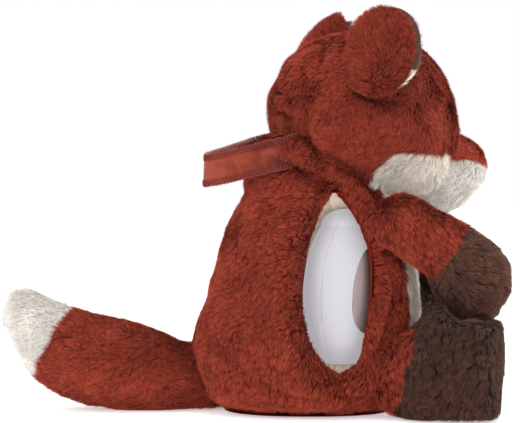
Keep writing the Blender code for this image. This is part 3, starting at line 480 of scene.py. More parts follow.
def backing_material(name, colour, depth=0.5):
    """The knitted backing under a pile: dark, with a fine knit bump."""
    mat = bpy.data.materials.new(name)
    nt, bsdf = nodes_of(mat)
    tex = new(nt, "ShaderNodeTexCoord")
    n = new(nt, "ShaderNodeTexNoise", i_Scale=300.0, i_Detail=4.0)
    nt.links.new(tex.outputs["Object"], n.inputs["Vector"])
    ramp = new(nt, "ShaderNodeValToRGB")
    c = np.asarray(colour) * depth
    ramp.color_ramp.elements[0].color = (*(c * 0.6), 1)
    ramp.color_ramp.elements[1].color = (*(c * 1.3), 1)
    nt.links.new(n.outputs["Fac"], ramp.inputs["Fac"])
    nt.links.new(ramp.outputs["Color"], bsdf.inputs["Base Color"])
    bump = new(nt, "ShaderNodeBump", i_Strength=0.4, i_Distance=0.0006)
    nt.links.new(n.outputs["Fac"], bump.inputs["Height"])
    nt.links.new(bump.outputs["Normal"], bsdf.inputs["Normal"])
    bsdf.inputs["Roughness"].default_value = 0.95
    bsdf.inputs["Specular IOR Level"].default_value = 0.1
    return mat


PILE = {
    "rust": pile_material("rust_pile", None, sheen=0.08, sheen_tint=(1.0, 0.38, 0.28)),
    "cream": pile_material("cream_pile", None, sheen=0.1),
    "white": pile_material("white_pile", None, sheen=0.1),
    "brown": pile_material("brown_pile", None, sheen=0.15, sheen_tint=(1.0, 0.8, 0.7)),
}
BACK = {
    "rust": backing_material("rust_backing", RUST, 0.95),
    "cream": backing_material("cream_backing", CREAM, 0.76),
    "white": backing_material("white_backing", WHITE, 0.76),
    "brown": backing_material("brown_backing", BROWN),
    "ear": backing_material("ear_backing", EAR_BROWN, 1.0),
}
SLOT = {"rust": "rust_plush", "cream": "cream_plush", "white": "white_plush", "brown": "brown_plush", "boot": "dark_brown_plush"}
TOTAL = [0]


DENSE = 2.1      # strands for each unit of the densities below


def grow(seed, lat, density, zones, length=8.0, lean=52.0, groom=None, keep=None, clump=3.4, width=0.46, pull=0.4, sink=0.8,
         floor_z=0.35, lengths=None):
    """Grows pile on a lattice. zones(p, a, b) gives each strand's zone; the result is one mesh for each zone:
    {zone: object}. groom(p, n) is the way the pile lies."""
    rng = np.random.default_rng(seed)
    P, N = lat.p, lat.n
    p00, p10, p01, p11 = P[:-1, :-1], P[1:, :-1], P[:-1, 1:], P[1:, 1:]
    area_ = 0.5 * np.linalg.norm(np.cross(p10 - p00, p01 - p00), axis=-1) + 0.5 * np.linalg.norm(np.cross(p10 - p11, p01 - p11), axis=-1)
    flat = area_.ravel()
    total = flat.sum()
    n = int(total * density * DENSE)
    length = length * 0.88
    cum = np.cumsum(flat) / total
    cell = np.minimum(np.searchsorted(cum, (np.arange(n) + rng.random(n)) / n), len(flat) - 1)
    i, j = np.unravel_index(cell, area_.shape)
    u, v = rng.random(n), rng.random(n)

    def bil(F):
        w = [(1 - u) * (1 - v), u * (1 - v), (1 - u) * v, u * v]
        vals = [F[i, j], F[i + 1, j], F[i, j + 1], F[i + 1, j + 1]]
        return sum(x * (y if y.ndim == 1 else y) if y.ndim == 1 else x[:, None] * y for x, y in zip(w, vals))

    p, nn, a, b = bil(P), unit(bil(N)), bil(lat.a), bil(lat.b)
    ok = np.ones(n, bool) if keep is None else keep(p, a, b)
    p, nn, a, b = p[ok], nn[ok], a[ok], b[ok]
    n = len(p)
    if n == 0:
        return {}
    t = groom(p, nn) if groom else np.tile(np.array((0.0, 0.0, -1.0)), (n, 1))
    t = t - nn * (t * nn).sum(-1, keepdims=True)
    t = unit(t + 1e-6)
    s = np.cross(nn, t)
    turn = 0.75 * noise(p, 26, seed) + 0.55 * noise(p, 9, seed + 1) + 0.25 * rng.standard_normal(n)
    t = t * np.cos(turn)[:, None] + s * np.sin(turn)[:, None]
    th = np.radians(lean + 14 * noise(p, 12, seed + 2) + 8 * rng.standard_normal(n))
    L = length * (0.82 + 0.36 * rng.random(n)) * (1 + 0.16 * noise(p, 16, seed + 3))
    if lengths is not None:
        L = L * lengths(p, a, b)

    def way(x):
        x = np.clip(x, 0.02, 1.5)
        return nn * np.cos(x)[:, None] + t * np.sin(x)[:, None]

    root = p - nn * sink
    d0, d1 = way(th - 0.38), way(th + 0.30)
    mid = root + d0 * (L * 0.5)[:, None]
    tip = mid + d1 * (L * 0.55)[:, None]
    # tufts: neighbouring strands lean together to a shared tip
    k = max(int(total * ok.mean() / clump ** 2), 1)
    pick = rng.choice(n, size=min(k, n), replace=False)
    tree = kdtree.KDTree(len(pick))
    for m, c in enumerate(pick):
        tree.insert(p[c], m)
    tree.balance()
    near = np.array([tree.find(x)[1] for x in p])
    own = pick[near]
    tuft = rng.random(len(pick))[near]
    c = pull * (0.55 + 0.45 * rng.random(n)) * (0.6 + 0.6 * tuft)
    c = np.clip(c, 0, 0.85)
    tip = tip * (1 - c)[:, None] + tip[own] * c[:, None]
    mid = mid * (1 - 0.4 * c)[:, None] + mid[own] * (0.4 * c)[:, None]
    for q in (root, mid, tip):
        q[:, 2] = np.maximum(q[:, 2], floor_z)
    d = unit(tip - root)
    w = unit(np.cross(d, nn) + 1e-6)
    roll = (rng.random(n) - 0.5) * 1.7
    w = w * np.cos(roll)[:, None] + np.cross(d, w) * np.sin(roll)[:, None]
    hw = (width * (0.75 + 0.5 * rng.random(n)) / 2)[:, None]
    co = np.stack([root - w * hw, root + w * hw, mid + w * hw * 0.85, mid - w * hw * 0.85, tip], axis=1)
    co[..., 2] = np.maximum(co[..., 2], floor_z - 0.1)
    zone, colour = zones(p, a, b, rng)
    vary = np.broadcast_to(np.asarray(colour.get("vary", 1.0), float).reshape(-1), (n,))
    bright = 1 + vary * (0.36 * tuft - 0.23 + 0.15 * rng.standard_normal(n))
    bright = np.maximum(bright, 0.25) * (1 + 0.15 * vary * noise(p, 7, seed + 5) + 0.10 * vary * noise(p, 21, seed + 6) + 0.07 * vary * noise(p, 44, seed + 7))
    cloth_c = colour["base"] * bright[:, None]
    tip_c = colour["tip"] * (1 + vary * (0.3 * rng.random(n) - 0.15))[:, None] * (1 + vary * (0.2 * tuft - 0.1))[:, None]
    rgba = np.ones((n, 5, 4), np.float32)
    rgba[:, 0, :3] = rgba[:, 1, :3] = cloth_c * colour.get("root", 0.42)
    rgba[:, 2, :3] = rgba[:, 3, :3] = cloth_c
    rgba[:, 4, :3] = tip_c
    rgba[..., :3] = np.clip(rgba[..., :3] * GAIN, 0, 1)
    out = {}
    for z in np.unique(zone):
        m = zone == z
        out[str(z)] = strands(co[m], rgba[m])
    return out


def strands(co, rgba):
    """A mesh of tapered strands of five points, each with its own cell of the bake map."""
    n = len(co)
    TOTAL[0] += n * 3
    base = (np.arange(n) * 5)[:, None]
    loops = (base + np.array([0, 1, 2, 3, 3, 2, 4])).ravel()
    starts = (np.arange(n)[:, None] * 7 + np.array([0, 4])).ravel()
    totals = np.tile([4, 3], n)
    ob = mesh_object("strands", co.reshape(-1, 3), loops, starts, totals)
    me = ob.data
    at = me.color_attributes.new("pile", "FLOAT_COLOR", "POINT")
    at.data.foreach_set("color", rgba.reshape(-1))
    uv = me.uv_layers.new(name="OFBake")
    g = int(math.ceil(math.sqrt(n)))
    cx, cy = (np.arange(n) % g) / g, (np.arange(n) // g) / g
    c = np.array([(0.1, 0.1), (0.9, 0.1), (0.85, 0.5), (0.15, 0.5), (0.15, 0.5), (0.85, 0.5), (0.5, 0.95)]) / g
    uvs = np.stack([cx[:, None] + c[None, :, 0], cy[:, None] + c[None, :, 1]], axis=-1)
    uv.data.foreach_set("uv", uvs.astype(np.float32).ravel())
    return ob


def dress(ob, name, mat, body, nodes=()):
    ob.name = ob.data.name = name
    ob.data.materials.append(mat)
    place(ob, body, nodes)
    return ob


def colours(zone, table):
    """Per-strand base, tip and root colours by zone name."""
    base, tip = np.zeros((len(zone), 3)), np.zeros((len(zone), 3))
    root, vary = np.zeros((len(zone), 1)), np.ones(len(zone))
    for k, (b, t, r) in table.items():
        m = zone == k
        base[m], tip[m], root[m] = b, t, r
        vary[m] = 0.22 if b[2] > 0.3 else (1.5 if b[0] < 0.08 else 1.0)
    return {"base": base, "tip": tip, "root": root, "vary": vary}


TINT = {
    "rust": (RUST, RUST_TIP, 0.6), "cream": (CREAM, CREAM * 1.06, 0.84), "white": (WHITE, WHITE * 1.02, 0.9),
    # the muzzle's rust and its tips are painted half again lighter than the body's: painted light on the lit snout
    "muzzle": (RUST * 1.5, RUST_TIP * 1.35, 0.9),
    "brown": (BROWN, BROWN * 3.0 + np.array((0.02, 0.012, 0.008)), 0.42), "boot": (BOOT, BOOT * 3.8 + np.array((0.026, 0.010, 0.004)), 0.4), "ear": (EAR_BROWN, EAR_BROWN * 1.4, 0.5),
}


def one(kind):
    def zones(p, a, b, rng):
        z = np.full(len(p), kind)
        return z, colours(z, TINT)
    return zones


# ============================================================================ torso, with the mouth of the pouch in its right flank
# the mouth's rear and front edges, (height, y) in millimetres
MOUTH_Z = np.array([30, 34, 39, 46, 58, 74, 91, 106, 121, 136, 147, 153, 160.0])
MOUTH_REAR = np.array([-26, -20, -13.5, -8.5, -3.2, 0.2, 1.2, -0.5, -4.2, -9, -13.5, -17.5, -24.0])
MOUTH_FRONT = np.array([-26, -32, -39.5, -42.5, -44.5, -47.5, -49.5, -49.5, -47, -41.5, -34.5, -30.0, -24.0])


def mouth(p):
    """How far a point of the right flank lies outside the mouth's edge; negative inside it."""
    zz = np.linspace(30, 160, 90)
    edge = np.concatenate([np.stack([np.interp(zz, MOUTH_Z, MOUTH_REAR), zz], -1), np.stack([np.interp(zz, MOUTH_Z, MOUTH_FRONT), zz], -1)])
    q = p[..., 1:3].reshape(-1, 2)
    d = np.full(len(q), 1e9)
    for e in edge:
        d = np.minimum(d, ((q - e) ** 2).sum(-1))
    d = np.sqrt(d)
    inside = (q[:, 0] < np.interp(q[:, 1], MOUTH_Z, MOUTH_REAR)) & (q[:, 0] > np.interp(q[:, 1], MOUTH_Z, MOUTH_FRONT)) & (q[:, 1] > 30) & (q[:, 1] < 160)
    d = np.where(inside, -d, d).reshape(p.shape[:-1])
    return np.where(p[..., 0] < -12, d, 200.0)


def near_line(p, pts, x_max=0.0):
    """Distance in y and z from a polyline on the right side."""
    q = p[..., 1:3]
    best = np.full(q.shape[:-1], 1e9)
    for (y0, z0), (y1, z1) in zip(pts, pts[1:]):
        s, e = np.array((y0, z0)), np.array((y1, z1))
        t = np.clip(((q - s) @ (e - s)) / ((e - s) @ (e - s)), 0, 1)
        best = np.minimum(best, np.linalg.norm(q - (s + t[..., None] * (e - s)), axis=-1))
    return np.where(p[..., 0] < x_max, best, 1e9)


def lumps(p, big=1.6, small=0.8, seed=3):
    return big * noise(p, 34, seed) + small * noise(p, 13, seed + 1)


def groove(d, depth, width):
    return -depth * np.exp(-(d / width) ** 2)


def neck_line(p):
    """The height at which the head's edge lies over the body."""
    return np.interp(p[..., 1], [-60, -48, -26, -6, 4, 16, 28, 42], [164, 164, 165, 171, 178, 182, 185, 187])


def torso_bend(p, a, b):
    h = lumps(p, 1.5, 0.8, 3)
    d = mouth(p)
    # the lips of the mouth: a full roll that turns in at its edge
    h = h + 3.0 * np.exp(-((d - 13) / 7.5) ** 2) * (p[..., 0] < -12)
    h = h - 10.5 * np.clip(1 - d / 11.0, 0, 1.35) ** 2 * (d < 11.0)
    # the crease under the head's edge
    h = h - 4.0 * np.exp(-((p[..., 2] - neck_line(p) + 1.5) / 3.6) ** 2) * (b < 0.93)
    # the crease in front of the front lip, the fold under the mouth and the fold over the hip
    h = h + groove(near_line(p, [(-62, 128), (-58, 116), (-63.5, 92), (-60, 70), (-54, 50)], -30), 9.0, 3.6)
    h = h + 2.5 * np.exp(-(near_line(p, [(-70, 118), (-73, 92), (-70, 66)], -30) / 6.0) ** 2)
    h = h + groove(near_line(p, [(-24, 33), (-27, 24), (-34, 17)], -30), 4.0, 3.5)
    h = h + groove(near_line(p, [(20, 24), (-5, 19), (-40, 22)], -30), 2.0, 4.0)
    h = h + groove(near_line(p, [(38, 136), (18, 142), (-6, 150)], -20), 2.4, 5.0)
    h = h + groove(near_line(p, [(58, 60), (46, 42), (30, 30)], -20), 1.8, 6.0)
    h = h + 5.0 * smooth(p[..., 2], 96, 140) * smooth(p[..., 1], -20, 30)
    h = h + 3.4 * smooth(p[..., 1], 40, 66) * np.exp(-((p[..., 2] - 46) / 26) ** 2)
    # the back seam and its mirror creases on the left side
    h = h + groove(np.abs(p[..., 0]) + 1e3 * (p[..., 1] < 0), 1.6, 3.0)
    h = h + groove(np.where(p[..., 0] > 30, np.abs(p[..., 1] + 60 - 6 * np.sin(p[..., 2] / 30)), 1e9), 2.2, 4.5)
    return h


TORSO_LAT = Lattice(torso, 230, 150, (0, 1), (0.0, 0.93), bend=torso_bend, centre=(0, -8, 90))


def belly_half(b):
    return 0.072 + 0.024 * np.sin(PI * np.minimum(b / 0.8, 1.0)) - 0.03 * smooth(b, 0.62, 0.80)


def torso_keep(p, a, b):
    return mouth(p) > -0.5


def hidden_torso(p):
    """Places that the limbs cover."""
    out = np.zeros(len(p), bool)
    for side, label in ((-1, "right"), (1, "left")):
        s, w = np.array(SHOULDER[label]), np.array(PAW[label])
        d = unit(w - s)
        k = np.clip(((p - s) @ d), -5, 40)
        out |= np.linalg.norm(p - (s + k[:, None] * d), axis=-1) < 9.0
        h = np.array((side * HIP[0], HIP[1], HIP[2]))
        out |= np.linalg.norm(p - h, axis=-1) < 19
    out |= np.linalg.norm(p - np.array(TAIL_ROOT), axis=-1) < 16.5
    return out


def torso_zones(p, a, b, rng):
    at = np.minimum(a, 1 - a) + 0.004 * noise(p, 5, 8)
    z = np.where(at < belly_half(b), "cream", np.where(a < 0.5, "rust_left", "rust_right"))
    t = {"rust_left": TINT["rust"], "rust_right": TINT["rust"], "cream": TINT["cream"]}
    return z, colours(z, t)


def torso_groom(p, n):
    """Down and back on the body, and away from the mouth round its lips."""
    base = np.array((0.0, 0.55, -1.0)) + np.zeros_like(p)
    d = mouth(p)
    w = np.exp(-np.clip(d, 0, 50) / 13.0) * (p[:, 0] < -12)
    c = vec(p[:, 0] * 0, p[:, 1] + 24.5, (p[:, 2] - 96) * 0.5)
    c = unit(c)
    return base * (1 - w)[:, None] + c * (2.0 * w)[:, None]


cloth("torso_cloth", TORSO_LAT, BACK["rust"], keep=lambda p, a, b: (mouth(p) > -1.2) & (np.minimum(a, 1 - a) > belly_half(b)), snap=(mouth, -1.2),
      body="torso", nodes=("torso_cover", "torso_fill", "pouch_flap_rear", "pouch_flap_front"))
cloth("belly_cloth", TORSO_LAT, BACK["cream"], keep=lambda p, a, b: np.minimum(a, 1 - a) <= belly_half(b),
      body="torso", nodes=("belly_panel",))
got = grow(11, TORSO_LAT, 1.25, torso_zones, groom=torso_groom,
           keep=lambda p, a, b: torso_keep(p, a, b) & ~hidden_torso(p),
           lengths=lambda p, a, b: (1 + 0.12 * np.exp(-(mouth(p) / 9) ** 2)) * (1 - 0.72 * smooth(p[:, 2], neck_line(p), neck_line(p) + 6)))
dress(got["rust_left"], "torso_fur_left", PILE["rust"], "torso")
dress(got["rust_right"], "torso_fur_right", PILE["rust"], "torso")
dress(got["cream"], "belly_fur", PILE["cream"], "torso")


# ----------------------------------------------------------------------------- seat
def seat_form(a, b):
    q = torso(a, b * 0)
    k = b[..., None]
    return np.array((0, -5.5, 0.0)) * (1 - k) + q * k * np.array((1, 1, 0)) + np.array((0, 0, 0.9))


SEAT_LAT = Lattice(seat_form, 90, 24, (0, 1), (0.0, 1.0), inset=0.0, low=0.9, centre=(0, -5, 60))
cloth("seat_cloth", SEAT_LAT, BACK["rust"], body="torso", nodes=("seat_panel",), thick=0.6)

# ============================================================================ neck gather
NECK_LAT = Lattice(
    lambda a, b: NECK + vec((NECK_R + 1.0) * np.sin(np.radians(62) * (1 - b * 0.7)) * np.sin(2 * PI * a),
                            -(NECK_R + 1.0) * np.sin(np.radians(62) * (1 - b * 0.7)) * np.cos(2 * PI * a),
                            (NECK_R + 1.0) * np.cos(np.radians(62) * (1 - b * 0.7))),
    110, 14, (0, 1), (0, 1), inset=3.0, centre=NECK)
cloth("neck_cloth", NECK_LAT, BACK["rust"], body="neck", nodes=("neck_cover",), thick=0.8)
got = grow(21, NECK_LAT, 0.9, one("rust"), length=7.0, groom=lambda p, n: np.zeros_like(p) + np.array((0, 0.4, -1.0)))
dress(got["rust"], "neck_fur", PILE["rust"], "neck")

# ============================================================================ head
CHEEK = 0.305
HEAD_LINES = [
    ([(-5, 242), (-3, 220), (-8, 196), (-14, 176)], 4.6, 4.0),      # behind the jowl
    ([(25, 234), (8, 228), (-8, 227)], 4.2, 3.4),                    # across the back of the head
    ([(13, 217), (9, 213)], 4.6, 4.4),
    ([(-72, 222), (-80, 210), (-92, 200)], -2.6, 5.0),               # the cheek's ridge
    ([(-103, 222), (-105, 204), (-104, 186)], 4.4, 3.6),             # before the muzzle
    ([(-20, 262), (-16, 248), (-12, 236)], 2.6, 4.0),
    ([(-40, 229), (-55, 224), (-69, 222)], 5.0, 4.0),                # under the ear
]


def head_bend(p, a, b):
    h = lumps(p, 1.6, 0.9, 21)
    for pts, depth, width in HEAD_LINES:
        h = h + groove(near_line(p, pts, 0), depth, width)
        # the same sewing on the other side, turned with the head
    q = p - HEAD
    h = h - 2.6 * smooth(q @ FWD, 15, 55) * smooth(p[..., 2], 212, 232) + 2.4 * smooth(q @ FWD, 25, 60) * np.exp(-((p[..., 2] - 196) / 11) ** 2)
    # the roll behind the jowl, over the strap's end
    h = h + 5.0 * np.exp(-((p[..., 1] + 8) / 21) ** 2 - ((p[..., 2] - 190) / 24) ** 2) * smooth(-p[..., 0], 5, 25)
    # full jowls under the cheeks
    for side in (-1, 1):
        jowl = HEAD + FWD * 42 + LEFT * side * 22 - UP * 50
        h = h + 15.0 * np.exp(-(np.linalg.norm(p - jowl, axis=-1) / 24) ** 2)
    m = HEAD + q - LEFT * (2 * (q @ LEFT))[..., None]
    for pts, depth, width in HEAD_LINES[:1] + HEAD_LINES[3:5]:
        h = h + np.where(q @ LEFT > 8, groove(near_line(m, pts, 0), depth, width), 0)
    return h


SKIRT_R = NECK_R + 2.6


def head_form(a, b):
    """The head, whose lower edge runs on down over the ball of the neck instead of passing into it."""
    p = head(a, b)
    fine = np.linspace(0.0, 0.75, 240)
    cols, idx = np.unique(a, return_inverse=True)
    A, B = np.meshgrid(cols, fine, indexing="ij")
    r = np.linalg.norm(head(A, B) - NECK, axis=-1)
    inside = r < SKIRT_R
    last = np.where(inside.any(1), len(fine) - 1 - np.argmax(inside[:, ::-1], axis=1), 0)
    b0 = fine[last]
    at = unit(head(cols, b0) - NECK)
    th0, az = np.arccos(at[:, 2]), np.arctan2(at[:, 1], at[:, 0])
    y = NECK[1] + SKIRT_R * np.sin(az)
    z = np.interp(y, [-64, -60, -48, -26, -6, 4, 16, 28, 42], [170, 166, 166, 168.5, 175, 181, 184, 186, 188])
    th1 = np.maximum(th0, np.arccos(np.clip((z - NECK[2]) / SKIRT_R, -1, 1)))
    k = lambda v: v[idx].reshape(a.shape)
    t = np.clip((k(b0) - b) / np.maximum(k(b0) - 0.02, 1e-3), 0, 1)
    th = k(th0) + (k(th1) - k(th0)) * t
    q = NECK + (SKIRT_R + 2.6 * smooth(t * (k(th1) - k(th0)), 0.02, 0.14))[..., None] * vec(np.sin(th) * np.cos(k(az)), np.sin(th) * np.sin(k(az)), np.cos(th))
    return np.where((b < k(b0))[..., None], q, p)


HEAD_LAT = Lattice(head_form, 240, 150, (-0.5, 0.5), (0.02, 1.0), bend=head_bend, centre=HEAD)


def cheek_row(a):
    return 0.11 + 0.205 * (1 - smooth(np.abs(a), 0.24, CHEEK + 0.01))


def ear_hidden(p):
    out = np.zeros(p.shape[:-1], bool)
    for side in (-1, 1):
        c, across, up, o = ear_axes(side)
        q = p - c
        x, y, z = q @ across, q @ up, q @ o
        out |= ((x / 24) ** 2 + (y / 30) ** 2 < 1) & (z > -9)
    return out


def head_keep(p, a, b):
    ok = np.linalg.norm((p - MUZZLE) / np.array((24.0, 25.0, 23.0)), axis=-1) > 1
    ok &= np.linalg.norm(p - NECK, axis=-1) > 44
    for side in (-1, 1):
        e = head(np.array([side * 0.046]), np.array([0.455]))[0]
        ok &= np.linalg.norm(p - e, axis=-1) > 6.4
    # behind the left ear the pile runs right up to its base
    return ok & ~(ear_hidden(p) & ~(((p - HEAD) @ LEFT > 0) & ((p - HEAD) @ FWD < 4)))


def behind_cheek(p):
    """The cheeks end above the shoulder; behind that the head's edge is rust again."""
    q = p - HEAD
    return (q @ FWD > 10) | (p[..., 1] < -47)


def head_zones(p, a, b, rng):
    at = b + 0.008 * noise(p, 5, 9) + 0.012 * noise(p, 11, 10)
    cream = (at < cheek_row(a) + 0.008) & (np.abs(a) < CHEEK + 0.03) & behind_cheek(p)
    z = np.where(cream, np.where(a < 0, "cream_right", "cream_left"), np.where(a < 0, "rust_right", "rust_left"))
    t = {"rust_left": TINT["rust"], "rust_right": TINT["rust"], "cream_left": TINT["cream"], "cream_right": TINT["cream"]}
    tint = colours(z, t)
    # the rust pile is painted lighter over the crown and darker low on the side: painted light falling from above
    painted_crown_light = np.where(cream, 1.0, 0.86 + 0.28 * smooth(p[:, 2], 205, 262))[:, None]
    tint["base"], tint["tip"] = tint["base"] * painted_crown_light, tint["tip"] * painted_crown_light
    return z, tint


def head_groom(p, n):
    """Back and down over the skull; down and back on the cheeks; fanned at the cheek's ridge."""
    back = -FWD * 0.9 + np.array((0, 0, -0.75))
    g = back + np.zeros_like(p)
    q = p - HEAD
    side = np.sign(q @ LEFT)
    low = smooth(-(p[:, 2] - 215), -20, 30)
    g = g + (-UP * 0.5)[None] * low[:, None]
    d = near_line(p, [(-70, 226), (-80, 212), (-92, 200)], 0)
    w = np.exp(-(d / 16) ** 2) * (p[:, 2] < 216)
    part = np.tanh((p[:, 1] - np.interp(p[:, 2], [200, 212, 226], [-92, -80, -70])) / 5)
    fan = unit(vec(0 * part - 0.2, part * 0.8, 0 * part - 0.75))
    g = g * (1 - w)[:, None] + (fan * 1.6) * w[:, None]
    return g + LEFT[None] * (0.15 * side)[:, None]


rustish = lambda p, a, b: ~((b < cheek_row(a)) & (np.abs(a) < CHEEK + 0.03) & behind_cheek(p))
HEAD_CUT = lambda p, a, b: (np.linalg.norm(p - NECK, axis=-1) > 41)
cloth("head_cloth", HEAD_LAT, BACK["rust"], keep=lambda p, a, b: rustish(p, a, b) & HEAD_CUT(p, a, b), body="head",
      nodes=("head_cover", "head_fill"))
for side, label in ((-1, "right"), (1, "left")):
    cloth("cheek_cloth_" + label, HEAD_LAT, BACK["cream"],
          keep=lambda p, a, b, s=side: ~rustish(p, a, b) & (a * s > 0) & HEAD_CUT(p, a, b), body="head", nodes=("cheek_" + label,))
got = grow(31, HEAD_LAT, 1.4, head_zones, groom=head_groom, keep=head_keep, length=7.6, pull=0.28, clump=3.0, lean=56,
           lengths=lambda p, a, b: 1 + 0.35 * np.exp(-(near_line(p, [(-72, 222), (-82, 208), (-94, 198)], 0) / 7) ** 2))
dress(got["rust_right"], "head_fur_right", PILE["rust"], "head")
dress(got["rust_left"], "head_fur_left", PILE["rust"], "head")
dress(got["cream_right"], "cheek_fur_right", PILE["cream"], "head")
dress(got["cream_left"], "cheek_fur_left", PILE["cream"], "head")

# ============================================================================ muzzle, nose and eyes
def muzzle_bend(p, a, b):
    """A snub end: full above, drawn in below, and full where it joins the jowls."""
    f, z = (p - MUZZLE) @ FWD / MUZZLE_R[0], (p[..., 2] - MUZZLE[2]) / MUZZLE_R[2]
    h = lumps(p, 0.9, 0.6, 41)
    h = h - 3.4 * smooth(f, 0.1, 0.8) * smooth(-z, 0.1, 0.7) + 1.6 * smooth(f, 0.3, 0.9) * smooth(z, -0.1, 0.5)
    return h + 4.6 * smooth(-f, -0.45, 0.2) * smooth(-z, 0.3, 0.9)


MUZZLE_LAT = Lattice(muzzle, 120, 60, (0, 1), (0.04, 1.0), inset=3.2, bend=muzzle_bend, centre=MUZZLE)


def muzzle_zones(p, a, b, rng):
    at = np.minimum(a, 1 - a) + 0.006 * noise(p, 5, 12)
    z = np.where(at < 0.196, "rust", "white")
    # the snout's rust takes the muzzle tint, which is painted light
    return z, colours(z, {"rust": TINT["muzzle"], "white": TINT["white"]})


cloth("muzzle_cloth", MUZZLE_LAT, BACK["rust"], keep=lambda p, a, b: np.minimum(a, 1 - a) < 0.222, body="head", nodes=("muzzle_cover", "muzzle_fill"))
cloth("chin_cloth", MUZZLE_LAT, BACK["white"], keep=lambda p, a, b: np.minimum(a, 1 - a) >= 0.222, body="head", nodes=("muzzle_chin",))
got = grow(41, MUZZLE_LAT, 2.6, muzzle_zones, length=6.4, lean=60, width=0.56, clump=3.4, pull=0.3,
           groom=lambda p, n: -FWD * 1.0 + np.array((0, 0, -0.5)) + np.zeros_like(p),
           keep=lambda p, a, b: np.linalg.norm(p - (MUZZLE + unit(FWD * math.cos(0.28) + UP * math.sin(0.28)) * 29.5), axis=-1) > 7.5)
dress(got["rust"], "muzzle_fur", PILE["rust"], "head")
dress(got["white"], "chin_fur", PILE["white"], "head")

# ============================================================================ ears
for side, label in ((-1, "right"), (1, "left")):
    c, across, up, out = ear_axes(side)

    def plate(lift, drop, turn=1.0, c=c, across=across, up=up, out=out):
        def fn(a, b):
            ang = 2 * PI * a
            x, y = EAR_R[0] * b * np.sin(ang) * turn, EAR_R[1] * b * np.cos(ang)
            x = x * (1 + (0.07 if turn > 0 else -0.1) * smooth(-y, 0, EAR_R[1]))
            return c + across * x[..., None] + up * y[..., None] + out * (lift + drop * (1 - b * b))[..., None]
        return fn

    # the near ear's lining shows at its front rim; the far ear leans back
    nudge = np.array((0, -3.2, 0)) + up * 2.5 if side < 0 else np.array((0, 0, 0.0))
    nudge = nudge - out * (nudge @ out)
    lean = np.array((0, 0, 0.0)) if side < 0 else np.array((0.0, 5.5, 1.5))

    def shaped(form, move, low=0.0, wide=1.0, c=c, up=up):
        def fn(a, b):
            q = form(a, b) - c
            y = q @ up
            return c + move + (q - up * (y * low * smooth(-y, 4, 30))[..., None]) * wide
        return fn

    back_lat = Lattice(shaped(plate(-2.6, 9.0 if side < 0 else 15.0), lean, 0.0, 1.0 if side < 0 else 1.08), 90, 34, (0, 1), (0.0, 0.93), inset=0.0, bend=lambda p, a, b: lumps(p, 1.0, 0.6, 51), centre=c - out * 60)
    in_lat = Lattice(shaped(plate(-6.4, 5.4), lean + nudge, 0.12 if side < 0 else 0.0), 90, 34, (0, 1), (0.0, 0.93), inset=0.0, bend=lambda p, a, b: lumps(p, 0.5, 0.4, 52), centre=c + out * 60)
    cloth("ear_cloth_" + label, back_lat, BACK["rust"], body="ear_" + label, nodes=("ear_back_" + label,), thick=1.0)

    def ear_low(p, c=c, up=up):
        return (p - c) @ up + 1.2 * noise(p, 5, 13) < -12

    cloth("ear_lining_" + label, in_lat, BACK["ear"], keep=lambda p, a, b, f=ear_low: ~f(p), body="ear_" + label, nodes=("ear_inner_" + label,), thick=0.8)
    cloth("ear_base_cloth_" + label, in_lat, BACK["cream"], keep=lambda p, a, b, f=ear_low: f(p), body="ear_" + label, nodes=("ear_base_" + label,), thick=0.8)

    def outwards(p, n, c=c, up=up):
        return unit(p - c) * 0.7 + up * 0.75 - out * 0.15

    def ear_zones(p, a, b, rng):
        z = np.full(len(p), "rust")
        return z, colours(z, {"rust": (RUST * 0.86, RUST_TIP * 0.78, 0.55)})

    got = grow(51 + side, back_lat, 2.0, ear_zones, length=8.4, lean=34, clump=3.2, width=0.4, pull=0.36,
               groom=outwards, lengths=lambda p, a, b: 1.0 - 0.35 * smooth(b, 0.6, 0.9))
    dress(got["rust"], "ear_fur_" + label, PILE["rust"], "ear_" + label)

    def in_zones(p, a, b, rng, f=ear_low):
        z = np.where(f(p), "cream", "ear")
        return z, colours(z, TINT)

    got = grow(55 + side, in_lat, 1.9, in_zones, length=6.4, lean=38, clump=3.2, width=0.42, groom=outwards,
               lengths=lambda p, a, b: 1.0 + 0.5 * smooth(b, 0.78, 0.92))
    dress(got["ear"], "ear_inner_fur_" + label, PILE["brown"], "ear_" + label)
    dress(got["cream"], "ear_base_fur_" + label, PILE["cream"], "ear_" + label)

